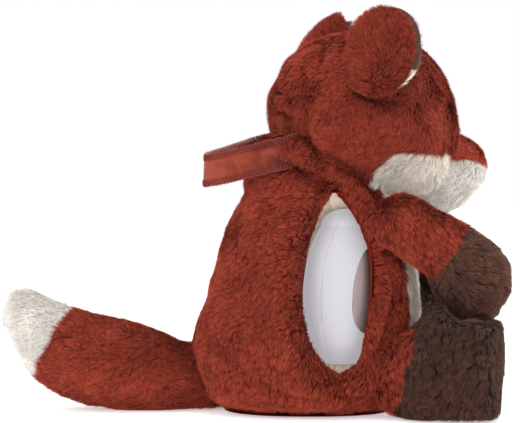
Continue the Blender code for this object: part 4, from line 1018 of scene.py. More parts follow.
# ============================================================================ arms
SPLIT = 0.50
for side, label in ((-1, "right"), (1, "left")):
    sh, pw = np.array(SHOULDER[label]), np.array(PAW[label])
    way = unit(pw - sh)
    fn = arm_form(side)

    def arm_bend(p, a, b, sh=sh, way=way):
        h = lumps(p, 1.3, 0.8, 61)
        k = (p - sh) @ way
        # gathers where the sleeve meets the paw and at the shoulder
        h = h + groove(np.abs(b - 0.50) * 90, 1.8, 4.0)
        top = (p - sh) @ unit(np.cross(np.array((1.0, 0, 0)), way)) * -1
        h = h + smooth(np.abs(top) * (top > 0), 4, 18) * np.interp(k, [-30, -18, 2, 20, 30, 40, 53, 62, 70, 85, 97], [2.5, 2.5, 0.5, 0, 2.0, 3.6, 1.8, 0.0, -2.2, -2.6, 0])
        h = h + 3.2 * smooth(-top, 2, 16) * smooth(k, 58, 82)
        return h + 0.9 * noise(p * np.array((1, 1, 0.5)), 8, 63)

    lat = Lattice(fn, 110, 100, (0, 1), (0.03, 1.0), bend=arm_bend, centre=(sh + pw) / 2)

    def arm_zones(p, a, b, rng):
        z = np.where(b + 0.006 * noise(p, 5, 14) < 0.50, "rust", "brown")
        return z, colours(z, TINT)

    cloth("sleeve_cloth_" + label, lat, BACK["rust"], keep=lambda p, a, b: b < SPLIT, body="arm_" + label, nodes=("arm_cover_" + label, "arm_fill_" + label))
    cloth("paw_cloth_" + label, lat, BACK["brown"], keep=lambda p, a, b: b >= SPLIT, body="arm_" + label, nodes=("paw_cover_" + label,))
    got = grow(61 + side, lat, 1.3, arm_zones, length=7.5, groom=lambda p, n, w=way: w * 1.0 + np.array((0, 0, -0.45)) + np.zeros_like(p),
               keep=lambda p, a, b: b > 0.07)
    dress(got["rust"], "sleeve_fur_" + label, PILE["rust"], "arm_" + label)
    dress(got["brown"], "paw_fur_" + label, PILE["brown"], "arm_" + label)

# ============================================================================ legs
for side, label in ((-1, "right"), (1, "left")):
    fn = leg(side)

    def leg_bend(p, a, b, side=side):
        h = lumps(p, 1.2, 0.8, 71) + groove(np.abs(b - 0.82) * 130, 1.6, 3.0)
        # the thigh sags to the ground; the boot's front leans in below
        h = h + 12.0 * np.exp(-((a - 0.5) / 0.15) ** 2) * smooth(b, 0.04, 0.16) * (1 - smooth(b, 0.36, 0.55))
        h = h - 5.0 * smooth(-p[..., 1], 132, 142) * smooth(-p[..., 2], -42, -14)
        if side < 0:
            h = h - 4.0 * smooth(-p[..., 1], 143, 150) * smooth(p[..., 2], 54, 66)
            h = h + 3.6 * np.exp(-((p[..., 1] + 120) / 15) ** 2) * smooth(p[..., 2], 58, 66)
            return h + 4.0 * np.exp(-((p[..., 1] + 97) / 9) ** 2) * smooth(p[..., 2], 52, 66)
        return h + 15.0 * np.exp(-((p[..., 1] + 92) / 12) ** 2) * smooth(p[..., 2], 48, 62)

    lat = Lattice(fn, 120, 110, (0, 1), (0.03, 1.0), bend=leg_bend,
                  centre=(side * 58, -98, 38))

    def leg_zones(p, a, b, rng):
        at = -p[:, 1] - 64.0 - 0.30 * (p[:, 2] - 6.0) + 1.6 * noise(p, 5, 15)
        z = np.where(at < 0, "rust", np.where(b < 0.75, "boot", "sole"))
        t = dict(TINT)
        t["sole"] = TINT["boot"]
        return z, colours(z, t)

    cloth("thigh_cloth_" + label, lat, BACK["rust"], keep=lambda p, a, b: b < 0.305, body="leg_" + label, nodes=("leg_cover_" + label, "leg_fill_" + label))
    cloth("boot_cloth_" + label, lat, BACK["brown"], keep=lambda p, a, b: (b >= 0.305) & (b < 0.75), body="leg_" + label, nodes=("boot_cover_" + label,))
    cloth("sole_cloth_" + label, lat, BACK["brown"], keep=lambda p, a, b: b >= 0.75, body="leg_" + label, nodes=("boot_sole_" + label,))
    got = grow(71 + side, lat, 1.25, leg_zones, length=8.0, clump=4.2, pull=0.5, groom=lambda p, n: np.array((0, 0.15, -1.0)) + np.zeros_like(p), keep=lambda p, a, b: b > 0.12)
    dress(got["rust"], "thigh_fur_" + label, PILE["rust"], "leg_" + label)
    dress(got["boot"], "boot_fur_" + label, PILE["brown"], "leg_" + label)
    dress(got["sole"], "sole_fur_" + label, PILE["brown"], "leg_" + label)

# ============================================================================ tail
T_SPLIT = 0.668


def tail_edge(a):
    return T_SPLIT - 0.017 + 0.017 * np.cos(2 * PI * a)


def tail_bend(p, a, b):
    """Uneven stuffing, and a flatter underside that rests on the ground."""
    under = np.exp(-((a - 0.5) / 0.16) ** 2) * smooth(b, 0.10, 0.24) * (1 - smooth(b, 0.42, 0.58))
    return lumps(p, 1.5, 0.9, 81) + 5.0 * under


TAIL_LAT = Lattice(tail, 120, 150, (0, 1), (0.04, 1.0), bend=tail_bend, centre=(2, 130, 36))


def tail_zones(p, a, b, rng):
    z = np.where(b + 0.006 * noise(p, 5, 16) < tail_edge(a), "rust", "white")
    return z, colours(z, TINT)


cloth("tail_cloth", TAIL_LAT, BACK["rust"], keep=lambda p, a, b: b < tail_edge(a), body="tail", nodes=("tail_cover", "tail_fill"))
cloth("tail_tip_cloth", TAIL_LAT, BACK["white"], keep=lambda p, a, b: b >= tail_edge(a), body="tail", nodes=("tail_tip",))
got = grow(81, TAIL_LAT, 1.5, tail_zones, length=8.5, pull=0.32, groom=lambda p, n: np.array((0, 1.0, -0.25)) + np.zeros_like(p), keep=lambda p, a, b: b > 0.09)
dress(got["rust"], "tail_fur", PILE["rust"], "tail")
dress(got["white"], "tail_tip_fur", PILE["white"], "tail")

# ============================================================================ sewn eyes and nose, sunk in the pile
def satin_material(name, colour):
    """Satin stitch: close parallel threads with a soft shine."""
    mat = bpy.data.materials.new(name)
    nt, bsdf = nodes_of(mat)
    tex = new(nt, "ShaderNodeTexCoord")
    wave = new(nt, "ShaderNodeTexWave", i_Scale=420.0, i_Distortion=1.5, i_Detail=2.0)
    nt.links.new(tex.outputs["Object"], wave.inputs["Vector"])
    ramp = new(nt, "ShaderNodeValToRGB")
    ramp.color_ramp.elements[0].color = (*(np.array(colour) * 0.6), 1)
    ramp.color_ramp.elements[1].color = (*(np.array(colour) * 1.8 + 0.004), 1)
    nt.links.new(wave.outputs["Fac"], ramp.inputs["Fac"])
    nt.links.new(ramp.outputs["Color"], bsdf.inputs["Base Color"])
    bump = new(nt, "ShaderNodeBump", i_Strength=0.5, i_Distance=0.0003)
    nt.links.new(wave.outputs["Fac"], bump.inputs["Height"])
    nt.links.new(bump.outputs["Normal"], bsdf.inputs["Normal"])
    bsdf.inputs["Roughness"].default_value = 0.35
    return mat


SATIN = satin_material("satin_black", (0.012, 0.010, 0.010))


def sewn_pad(name, at, out, wide, high, deep, node, rise=(0.0, 0.0)):
    """A crowned pad of satin stitch; rise lifts its outline into a soft triangle."""
    out = unit(np.asarray(out))
    side = unit(np.cross(UP, out))
    top = np.cross(out, side)

    def fn(a, b):
        ang = 2 * PI * a
        x, y = wide * np.cos(ang), high * np.sin(ang)
        x = x * (1 + rise[0] * np.sin(ang))
        r = np.sin(PI / 2 * b) ** 0.8
        return at + side * (x * r)[..., None] + top * (y * r)[..., None] + out * (deep * np.sqrt(np.maximum(1 - r * r, 0)) - 0.8)[..., None]

    lat = Lattice(fn, 48, 14, (0, 1), (0.02, 1.0), inset=0.0, centre=at - out * 20)
    return cloth(name, lat, SATIN, body="head", nodes=(node,), thick=0.8)


EYE = {}
for side, label in ((-1, "right"), (1, "left")):
    a_, b_ = np.array([side * 0.046]), np.array([0.455])
    at = head(a_, b_)[0]
    o = unit((at - HEAD) / np.array((71.0, 71.0, 60.0)))
    EYE[label] = at - o * 3.4
    sewn_pad("eye_stitch_" + label, EYE[label], o, 4.6, 4.9, 1.9, "eye_" + label)
NOSE_OUT = unit(FWD * math.cos(0.28) + UP * math.sin(0.28))
NOSE_AT = MUZZLE + NOSE_OUT * 29.0
sewn_pad("nose_stitch", NOSE_AT, NOSE_OUT, 8.0, 5.6, 3.2, "nose", rise=(0.28, 0))

# ============================================================================ hanging strap
S_MID = NECK - FWD * 32.0
S_MID[2] = 187.0
S_W = 22.0          # ribbon width


def strap_path(t):
    """t from -1 to 1 along the loop; beyond that the ends run on into the neck seam."""
    s = np.minimum(np.abs(t), 1.0)
    k = (1 - s) / 0.58
    ang = (1 - s / 0.42) * PI / 2
    back = np.where(s > 0.42, k * 31.5, 31.5 + 20.0 * np.sin(ang))
    side = np.where(s > 0.42, 35.0 + (20.5 - 35.0) * smooth(k, 0, 1), 20.5 * np.cos(ang))
    more = np.maximum(np.abs(t) - 1.0, 0) * 100
    p = S_MID + LEFT * (np.sign(t) * (side - more * 0.5))[..., None] - FWD * (back - more)[..., None]
    return p - UP * (0.27 * (back - more))[..., None]


S_N, S_M = 240, 16
S_T = np.linspace(-1.16, 1.16, S_N + 1)
S_P = strap_path(S_T)
# even out by length
_len = np.concatenate([[0], np.cumsum(np.linalg.norm(np.diff(S_P, axis=0), axis=-1))])
S_T = np.interp(np.linspace(0, _len[-1], S_N + 1), _len, S_T)
S_P = strap_path(S_T)
S_LEN = _len[-1]
S_TAN = unit(np.gradient(S_P, axis=0))
S_OUT = unit(np.cross(S_TAN, UP[None]))
_centre = S_MID - FWD * 15
S_OUT = S_OUT * np.sign(((S_P - _centre) * S_OUT).sum(-1).sum())
S_UP = unit(np.cross(S_OUT, S_TAN))
S_UP = S_UP * np.sign(S_UP[:, 2:3])


def strap_point(s, h, lift):
    """s in millimetres along the ribbon, h up from its middle, lift out of its outer face."""
    i = np.clip(np.asarray(s, float) / S_LEN * S_N, 0, S_N)
    i0 = np.minimum(i.astype(int), S_N - 1)
    f = (i - i0)[..., None]
    mix = lambda F: F[i0] * (1 - f) + F[i0 + 1] * f
    wave = 0.5 * np.sin(np.asarray(s) / 9.0) * (np.asarray(h) / 11.0) + 0.35 * np.sin(np.asarray(s) / 4.1 + 1.0) * (np.abs(h) / 11.0) ** 3
    return mix(S_P) + mix(S_UP) * np.asarray(h)[..., None] + mix(S_OUT) * (np.asarray(lift) + wave)[..., None]


def velvet_material(name, colour, light):
    """Short velvet: brushed light and dark patches, a fine grain and a strong edge sheen."""
    mat = bpy.data.materials.new(name)
    nt, bsdf = nodes_of(mat)
    tex = new(nt, "ShaderNodeTexCoord")
    big = new(nt, "ShaderNodeTexNoise", i_Scale=70.0, i_Detail=2.0, i_Distortion=0.6)
    fine = new(nt, "ShaderNodeTexNoise", i_Scale=1500.0, i_Detail=2.0)
    nt.links.new(tex.outputs["Object"], big.inputs["Vector"])
    nt.links.new(tex.outputs["Object"], fine.inputs["Vector"])
    ramp = new(nt, "ShaderNodeValToRGB")
    ramp.color_ramp.elements[0].position, ramp.color_ramp.elements[1].position = 0.32, 0.68
    ramp.color_ramp.elements[0].color = (*colour, 1)
    ramp.color_ramp.elements[1].color = (*light, 1)
    # lighter towards the fold, darker where it leaves the neck
    parts = new(nt, "ShaderNodeSeparateXYZ")
    nt.links.new(tex.outputs["Object"], parts.inputs["Vector"])
    fold_ramp = new(nt, "ShaderNodeMapRange")
    for k, v in (("From Min", 0.0), ("From Max", 0.066), ("To Min", -0.20), ("To Max", 0.16)):
        fold_ramp.inputs[k].default_value = v
    nt.links.new(parts.outputs["Y"], fold_ramp.inputs["Value"])
    add = new(nt, "ShaderNodeMath", operation="ADD")
    nt.links.new(big.outputs["Fac"], add.inputs[0])
    nt.links.new(fold_ramp.outputs["Result"], add.inputs[1])
    nt.links.new(add.outputs["Value"], ramp.inputs["Fac"])
    mix = new(nt, "ShaderNodeMix", data_type="RGBA", blend_type="MULTIPLY")
    mix.inputs["Factor"].default_value = 0.5
    nt.links.new(ramp.outputs["Color"], mix.inputs[6])
    nt.links.new(fine.outputs["Color"], mix.inputs[7])
    nt.links.new(mix.outputs[2], bsdf.inputs["Base Color"])
    bump = new(nt, "ShaderNodeBump", i_Strength=0.35, i_Distance=0.0003)
    nt.links.new(fine.outputs["Fac"], bump.inputs["Height"])
    nt.links.new(bump.outputs["Normal"], bsdf.inputs["Normal"])
    bsdf.inputs["Roughness"].default_value = 0.7
    bsdf.inputs["Specular IOR Level"].default_value = 0.2
    bsdf.inputs["Sheen Weight"].default_value = 0.18
    bsdf.inputs["Sheen Roughness"].default_value = 0.35
    bsdf.inputs["Sheen Tint"].default_value = (1.0, 0.5, 0.38, 1)
    return mat


VELVET = velvet_material("ribbon_velvet", tuple(srgb(92, 18, 10)), tuple(srgb(154, 64, 42)))
ss, hh = np.meshgrid(np.linspace(0, S_LEN, S_N + 1), np.linspace(-S_W / 2, S_W / 2, S_M + 1), indexing="ij")


class _Grid:
    pass


ribbon = _Grid()
ribbon.a, ribbon.b = ss / S_LEN, hh / S_W + 0.5
ribbon.p = strap_point(ss, hh, 0.5 + 0.0 * ss)
ribbon.n = unit(np.repeat(S_OUT[:, None], S_M + 1, axis=1))
strap = cloth("strap_ribbon", ribbon, VELVET, thick=1.0, body="strap", nodes=("strap_loop",))


def tubes(name, paths, radius, mat, ring=5, uv=True):
    """Many short round threads as one mesh; paths is (count, points, 3)."""
    paths = np.asarray(paths, float)
    k, m = paths.shape[:2]
    tan = unit(np.gradient(paths, axis=1))
    ref = np.where(np.abs(tan[..., 2:3]) > 0.9, np.array((1.0, 0, 0)), np.array((0, 0, 1.0)))
    u = unit(np.cross(tan, ref))
    v = np.cross(tan, u)
    ang = np.arange(ring) / ring * 2 * PI
    taper = np.ones(m)
    taper[0] = taper[-1] = 0.55
    co = paths[:, :, None] + (u[:, :, None] * np.cos(ang)[None, None, :, None] + v[:, :, None] * np.sin(ang)[None, None, :, None]) * radius * taper[None, :, None, None]
    idx = np.arange(k * m * ring).reshape(k, m, ring)
    q = np.stack([idx[:, :-1], np.roll(idx, -1, 2)[:, :-1], np.roll(idx, -1, 2)[:, 1:], idx[:, 1:]], axis=-1).reshape(-1, 4)
    caps0, caps1 = idx[:, 0, ::-1].reshape(-1, ring), idx[:, -1].reshape(-1, ring)
    loops = np.concatenate([q.ravel(), caps0.ravel(), caps1.ravel()])
    totals = np.concatenate([np.full(len(q), 4), np.full(2 * k, ring)])
    starts = np.concatenate([[0], np.cumsum(totals)[:-1]])
    ob = mesh_object(name, co.reshape(-1, 3), loops, starts, totals)
    ob.data.materials.append(mat)
    return ob


def thread_material(name, colour):
    mat = bpy.data.materials.new(name)
    nt, bsdf = nodes_of(mat)
    tex = new(nt, "ShaderNodeTexCoord")
    n = new(nt, "ShaderNodeTexNoise", i_Scale=900.0, i_Detail=2.0)
    nt.links.new(tex.outputs["Object"], n.inputs["Vector"])
    ramp = new(nt, "ShaderNodeValToRGB")
    ramp.color_ramp.elements[0].color = (*(np.asarray(colour) * 0.55), 1)
    ramp.color_ramp.elements[1].color = (*(np.asarray(colour) * 1.35), 1)
    nt.links.new(n.outputs["Fac"], ramp.inputs["Fac"])
    nt.links.new(ramp.outputs["Color"], bsdf.inputs["Base Color"])
    bsdf.inputs["Roughness"].default_value = 0.8
    bsdf.inputs["Sheen Weight"].default_value = 0.06
    return mat


def overlock(name, inner, mat_colour, phase, radius=0.42):
    """Threads over both edges of the ribbon, slanted on one face and straight on the other."""
    rng = np.random.default_rng(int(phase * 100) + 5)
    paths = []
    for e in (-1, 1):
        sk = np.arange(2.0, S_LEN - 2.0, 2.1) + phase
        n = len(sk)
        far = 3.9 + 0.35 * rng.standard_normal(n)
        over = (0.05 if inner else 0.5) + 0.25 * rng.random(n)
        j = 0.15 * rng.standard_normal(n)
        w = S_W / 2
        if inner:
            pts = [(sk + j, e * (w + over), 0.0), (sk + 0.2, e * (w - 0.3), -0.75), (sk + 0.5, e * (w - 1.8), -0.85), (sk + 1.0, e * (w - far), -0.75)]
        else:
            pts = [(sk + j, e * (w + over), 0.0), (sk + 0.2, e * (w - 0.3), 0.75), (sk + 0.7, e * (w - 1.8), 0.9), (sk + 1.5, e * (w - far), 0.75)]
        paths.append(np.stack([strap_point(np.clip(a, 0, S_LEN), b, np.full(n, c)) for a, b, c in pts], axis=1))
    return tubes(name, np.concatenate(paths), radius, thread_material(name + "_thread", mat_colour))


lock_out = overlock("strap_overlock_outer", False, srgb(112, 28, 16), 0.0, 0.46)
lock_in = overlock("strap_overlock_inner", True, srgb(206, 150, 138), 1.05)
run = []
for e in (-1, 1):
    sk = np.arange(2.0, S_LEN - 4.0, 2.3)
    w = S_W / 2 - 4.1
    run.append(np.stack([strap_point(sk + d, np.full(len(sk), e * w), np.full(len(sk), l)) for d, l in ((0, 0.35), (0.35, 0.72), (1.45, 0.72), (1.8, 0.35))], axis=1))
stitch = tubes("strap_seam_stitch", np.concatenate(run), 0.22, thread_material("seam_thread", srgb(88, 22, 16)))
for o in (lock_out, lock_in, stitch):
    place(o, "strap")

# ============================================================================ pouch lining
ROW_H = np.array([0.0, 0.07, 0.15, 0.28, 0.43, 0.58, 0.74, 0.89, 0.965, 1.0])
ROW_K = np.array([0.60, 0.75, 0.88, 0.97, 1.0, 0.955, 0.83, 0.56, 0.30, 0.0])


def unit_row(h, even=False):
    """Half width and half thickness of the sound unit at h, 0 to 1."""
    if even:
        n = len(ROW_H) - 1
        rows = np.stack([ROW_K, ROW_K], -1)
        fine = np.linspace(0, 1, 200)
        hs = spline(np.stack([ROW_H, ROW_K], -1), fine)
        k = np.interp(h, np.maximum.accumulate(hs[:, 0]), hs[:, 1])
    else:
        k = np.interp(h, ROW_H, ROW_K)
    crown = 0.56 * np.sqrt(np.maximum(1 - ((np.maximum(h, 0.89) - 0.89) / 0.11) ** 2, 0))
    k = np.where(h > 0.89, crown, k)
    return MOD_W * np.where(k > 0, 0.25 * np.sqrt(np.maximum(k, 0)) + 0.75 * k, 0), MOD_T * k


_fz = np.linspace(0, KNEE, 400)
_ft = spline(TORSO, _fz / KNEE)


def flank_x(y, z):
    back, front, w = (np.interp(z, _ft[:, 0], _ft[:, k]) for k in (1, 2, 3))
    e = 2.35 - 0.35 * np.interp(z, _ft[:, 0], _fz / KNEE)
    rel = np.minimum(np.abs((y - (back + front) / 2) / ((back - front) / 2)), 0.999)
    return -w * (1 - rel ** e) ** (1 / e)


def to_flank(n, z, inset):
    """How far out along the slide a line at n and z leaves the flank, less inset."""
    lo, hi = np.zeros_like(n), np.full_like(n, 120.0)
    zz = np.clip(z, 4, 155)
    for _ in range(26):
        m = (lo + hi) / 2
        x, y = MOD[0] + M_FRONT[0] * n + M_OUT[0] * m, MOD[1] + M_FRONT[1] * n + M_OUT[1] * m
        inside = x > flank_x(y, zz)
        lo, hi = np.where(inside, m, lo), np.where(inside, hi, m)
    return lo - inset


def pouch_form(a, b):
    g = 2.4
    m = np.minimum(a, 1 - a)
    sgn = np.where(a <= 0.5, 1.0, -1.0)
    h = 0.5 - 0.5 * np.cos(PI * np.clip(m - 0.10, 0, 0.4) / 0.40)
    foot = m < 0.10
    n = np.where(foot, (unit_row(np.zeros_like(m))[1] + g) * m / 0.10, unit_row(np.minimum(h, 0.9999))[1] + g) * sgn
    n = np.where(m > 0.4999, 0.0, n)
    z = np.where(foot, MOD[2] - g, MOD[2] - g + h * (MOD_H + 2 * g))
    zc = MOD[2] + MOD_H * 0.45
    q = np.clip(1 - b / 0.4, 0, 1)
    scale = (1 - q ** 3) ** (1 / 3)
    near = -34.0 - (48.5 + 2.7 - 34.0) * q ** 0.8
    flare = smooth(b, 0.80, 1.0)
    n2, z2 = n * (1 - 0.04 * flare), zc + (z - zc) * (1 + 0.145 * flare)
    far = -34.0 + (to_flank(n2, z2, 9.5) + 34.0) * (b - 0.4) / 0.6
    inner = b < 0.4
    nn, z3 = np.where(inner, n * scale, n2), np.where(inner, zc + (z - zc) * scale, z2)
    out = np.where(inner, near, far)
    base = np.array((MOD[0], MOD[1], 0.0))
    return base + M_FRONT * nn[..., None] + UP * z3[..., None] + M_OUT * out[..., None]


def pouch_bend(p, a, b):
    """Gathers that run in from the mouth, deepest at its top and foot."""
    up_dn = np.clip(np.abs(p[..., 2] - 92) / 62, 0, 1) ** 2
    k = smooth(b, 0.55, 0.95)
    ripple = np.sin(a * 2 * PI * 27 + 2.0 * np.sin(a * 2 * PI * 5)) + 0.6 * np.sin(a * 2 * PI * 44 + 1.3)
    hug = up_dn * smooth(b, 0.45, 0.62) * (1 - smooth(b, 0.82, 0.95))
    return k * up_dn * (1.3 * ripple) - 0.4 * k - 1.8 * hug + 0.5 * noise(p, 9, 90)


POUCH_LAT = Lattice(pouch_form, 420, 60, (0, 1), (0.02, 1.0), inset=-0.6, bend=lambda p, a, b: pouch_bend(p, a, b), centre=(MOD[0], MOD[1], MOD[2] + 50))


def knit_material(name, colour):
    """Thin knit: fine ribs in the bump, with faint soiling mottled over it."""
    mat = bpy.data.materials.new(name)
    nt, bsdf = nodes_of(mat)
    tex = new(nt, "ShaderNodeTexCoord")
    wave = new(nt, "ShaderNodeTexWave", i_Scale=260.0, i_Distortion=1.0, i_Detail=2.0, bands_direction="Z")
    n = new(nt, "ShaderNodeTexNoise", i_Scale=90.0, i_Detail=4.0)
    for t in (wave, n):
        nt.links.new(tex.outputs["Object"], t.inputs["Vector"])
    ramp = new(nt, "ShaderNodeValToRGB")
    ramp.color_ramp.elements[0].color = (*(np.asarray(colour) * 0.86), 1)
    ramp.color_ramp.elements[1].color = (*np.minimum(np.asarray(colour) * 1.08, 1), 1)
    nt.links.new(n.outputs["Fac"], ramp.inputs["Fac"])
    nt.links.new(ramp.outputs["Color"], bsdf.inputs["Base Color"])
    bump = new(nt, "ShaderNodeBump", i_Strength=0.35, i_Distance=0.0004)
    nt.links.new(wave.outputs["Fac"], bump.inputs["Height"])
    nt.links.new(bump.outputs["Normal"], bsdf.inputs["Normal"])
    bsdf.inputs["Roughness"].default_value = 0.85
    bsdf.inputs["Sheen Weight"].default_value = 0.2
    return mat


LINING = knit_material("lining_knit", srgb(222, 206, 184))


def facing(p, a, b):
    """Where the lips' own cloth lines the mouth: along its front edge and past its ends."""
    return ((b > 0.84) & (a > 0.10) & (a < 0.43)) | ((b > 0.88) & (mouth(p) > -0.6))


cloth("pouch_facing", POUCH_LAT, BACK["rust"], keep=facing, thick=0.7, body="torso")
pouch = cloth("pouch_cloth", POUCH_LAT, LINING, keep=lambda p, a, b: ~facing(p, a, b), thick=0.7, body="torso", nodes=("pouch_lining",))

# ============================================================================ the sound unit
SEAM_N, PANEL_N = -4.0, 17.0


def unit_form(a, b):
    ang = 2 * PI * a
    s, c = np.cos(ang), np.sin(ang)
    foot = b < 0.10
    k = np.where(foot, np.clip(b / 0.10, 0, 1), 1.0)
    x = np.clip((b - 0.10) / 0.90, 0, 1)
    h = np.where(foot, 0.0, np.sin(x * PI / 2) ** 1.25)
    w, t = unit_row(h, even=True)
    # a small round at the flat foot's rim
    k = np.where(foot, k ** 0.8, k)
    rim = 1.2 * np.clip(1 - h * MOD_H / 1.2, 0, 1) ** 2 * (k > 0.2)
    w, t = np.maximum(w - rim, 0), np.maximum(t - rim, 0)
    e = 2 / 2.25
    z = MOD[2] + h * MOD_H
    return (np.array((MOD[0], MOD[1], 0.0)) + UP * z[..., None] + M_OUT * (w * power(s, e) * k)[..., None]
            + M_FRONT * (t * power(c, e) * k)[..., None])


def plastic_material(name, colour, rough, grain=0.12, gloss=0.4, painted_glow=0.0):
    """Moulded plastic: fine spark texture, faint handling marks and slight tone drift; an optional emission paints
    light onto it and lifts its shaded parts.
    """
    mat = bpy.data.materials.new(name)
    nt, bsdf = nodes_of(mat)
    if painted_glow:
        bsdf.inputs["Emission Color"].default_value = (0.86, 0.84, 0.90, 1)
        bsdf.inputs["Emission Strength"].default_value = painted_glow
    tex = new(nt, "ShaderNodeTexCoord")
    n = new(nt, "ShaderNodeTexNoise", i_Scale=2600.0, i_Detail=1.0)
    soft = new(nt, "ShaderNodeTexNoise", i_Scale=24.0, i_Detail=3.0)
    for t in (n, soft):
        nt.links.new(tex.outputs["Object"], t.inputs["Vector"])
    ramp = new(nt, "ShaderNodeValToRGB")
    ramp.color_ramp.elements[0].color = (*(np.asarray(colour) * 0.955), 1)
    ramp.color_ramp.elements[1].color = (*np.minimum(np.asarray(colour) * 1.03, 1), 1)
    nt.links.new(soft.outputs["Fac"], ramp.inputs["Fac"])
    nt.links.new(ramp.outputs["Color"], bsdf.inputs["Base Color"])
    r = new(nt, "ShaderNodeMapRange", i_To_Min=rough - 0.05, i_To_Max=rough + 0.07)
    nt.links.new(soft.outputs["Fac"], r.inputs["Value"])
    nt.links.new(r.outputs["Result"], bsdf.inputs["Roughness"])
    bump = new(nt, "ShaderNodeBump", i_Strength=grain, i_Distance=0.0001)
    nt.links.new(n.outputs["Fac"], bump.inputs["Height"])
    nt.links.new(bump.outputs["Normal"], bsdf.inputs["Normal"])
    bsdf.inputs["Specular IOR Level"].default_value = gloss
    return mat


# the shell's emission is painted light that brightens its shaded side deep in the pouch
SHELL = plastic_material("shell_plastic", srgb(132, 130, 135), 0.45, painted_glow=0.40)
PANEL = plastic_material("panel_plastic", srgb(150, 136, 135), 0.42)


def make_unit():
    import bmesh
    A, B = np.meshgrid(np.linspace(0, 1, 161)[:-1], np.linspace(0.0, 1.0, 121), indexing="ij")
    P = unit_form(A, B)
    nu, nv = P.shape[:2]
    idx = np.arange(nu * nv).reshape(nu, nv)
    q = np.stack([idx[:, :-1], np.roll(idx, -1, 0)[:, :-1], np.roll(idx, -1, 0)[:, 1:], idx[:, 1:]], -1).reshape(-1, 4)
    full = bmesh.new()
    vs = [full.verts.new(x) for x in P.reshape(-1, 3)]
    for f in q:
        full.faces.new([vs[int(i)] for i in f])
    bmesh.ops.remove_doubles(full, verts=full.verts, dist=1e-3)
    bmesh.ops.dissolve_degenerate(full, dist=1e-4, edges=full.edges)
    bmesh.ops.recalc_face_normals(full, faces=full.faces)
    if full.calc_volume(signed=True) < 0:
        bmesh.ops.reverse_faces(full, faces=full.faces)
    base = np.array((MOD[0], MOD[1], 0.0))
    at = lambda n, z: base + M_FRONT * n + UP * z
    # the seam, the panel's edge, and the panel's rounded foot
    foot = [((25.0, 133.0), (20.0, 114.0)), ((20.0, 114.0), (17.8, 98.0)), ((17.8, 98.0), (17.0, 84.0)), ((17.0, 84.0), (17.0, 74.0)), ((17.0, 74.0), (18.2, 66.0)), ((18.2, 66.0), (20.8, 60.0)), ((20.8, 60.0), (25.0, 56.8)), ((25.0, 56.8), (31.0, 55.6))]
    seam_line = [((9.0, 152.0), (1.5, 134.0)), ((1.5, 134.0), (-2.4, 114.0)), ((-2.4, 114.0), (SEAM_N, 92.0)), ((SEAM_N, 92.0), (SEAM_N, 30.0))]
    planes = [(at(PANEL_N, 0), M_FRONT)]
    seams = []
    for (n0, z0), (n1, z1) in seam_line:
        d = unit(np.array((n1 - n0, z1 - z0)))
        seams.append((at(n0, z0), M_FRONT * (-d[1]) + UP * d[0]))
    for (n0, z0), (n1, z1) in foot:
        d = unit(np.array((n1 - n0, z1 - z0)))
        nor = M_FRONT * (-d[1]) + UP * d[0]
        planes.append((at(n0, z0), nor))
    for co, no in planes + seams:
        bmesh.ops.bisect_plane(full, geom=full.verts[:] + full.edges[:] + full.faces[:], dist=1e-4, plane_co=co, plane_no=no)

    def part_of(c):
        c = np.array(c)
        n = (c - base) @ M_FRONT
        if any((c - np.array(co)) @ np.array(no) < 0 for co, no in seams):
            return "back"
        ok = n > PANEL_N and all((c - np.array(co)) @ np.array(no) > 0 for co, no in planes[1:])
        return "panel" if ok else "front"

    which = {}
    for f in full.faces:
        which.setdefault(part_of(f.calc_center_median()), []).append(f.index)
    full.faces.index_update()
    out = {}
    for key in ("back", "front", "panel"):
        bm = full.copy()
        bm.faces.ensure_lookup_table()
        keep = set(f.index for f in bm.faces if part_of(f.calc_center_median()) == key)
        bmesh.ops.delete(bm, geom=[f for f in bm.faces if f.index not in keep], context="FACES")
        bm.normal_update()
        # break the edge: the rim turns in to a fine groove
        rim = [v for v in bm.verts if v.is_boundary]
        turn = 0.52 if key != "panel" else 0.5
        for v in rim:
            v.co -= v.normal * turn
        if key == "panel":
            for v in bm.verts:
                if not v.is_boundary:
                    v.co -= v.normal * 0.25
        for v in bm.verts:
            v.co *= MM
        for f in bm.faces:
            f.smooth = True
        mesh = bpy.data.meshes.new("unit_" + key)
        bm.to_mesh(mesh)
        bm.free()
        ob = bpy.data.objects.new("unit_" + key, mesh)
        scene.collection.objects.link(ob)
        mesh.materials.append(PANEL if key == "panel" else SHELL)
        sol = ob.modifiers.new("wall", "SOLIDIFY")
        sol.thickness, sol.offset, sol.use_even_offset = 1.8 * MM, -1.0, False
        out[key] = ob
    full.free()
    return out


def cylinder(name, a, b, r, seg=48):
    import bmesh
    a, b = Vector(a) * MM, Vector(b) * MM
    bm = bmesh.new()
    bmesh.ops.create_cone(bm, cap_ends=True, segments=seg, radius1=r * MM, radius2=r * MM, depth=(b - a).length)
    turn = (b - a).to_track_quat("Z", "Y").to_matrix()
    for v in bm.verts:
        v.co = turn @ v.co + (a + b) / 2
    mesh = bpy.data.meshes.new(name)
    bm.to_mesh(mesh)
    bm.free()
    ob = bpy.data.objects.new(name, mesh)
    scene.collection.objects.link(ob)
    return ob


def carve(ob, tools):
    """Subtracts the tools for good and removes them."""
    for t in tools:
        m = ob.modifiers.new("cut", "BOOLEAN")
        m.operation, m.solver, m.object = "DIFFERENCE", "EXACT", t
    dg = bpy.context.evaluated_depsgraph_get()
    mesh = bpy.data.meshes.new_from_object(ob.evaluated_get(dg))
    ob.modifiers.clear()
    ob.data = mesh
    for t in tools:
        bpy.data.objects.remove(t, do_unlink=True)


def m_at(o, n, z):
    return np.array((MOD[0], MOD[1], 0.0)) + M_OUT * o + M_FRONT * n + UP * z


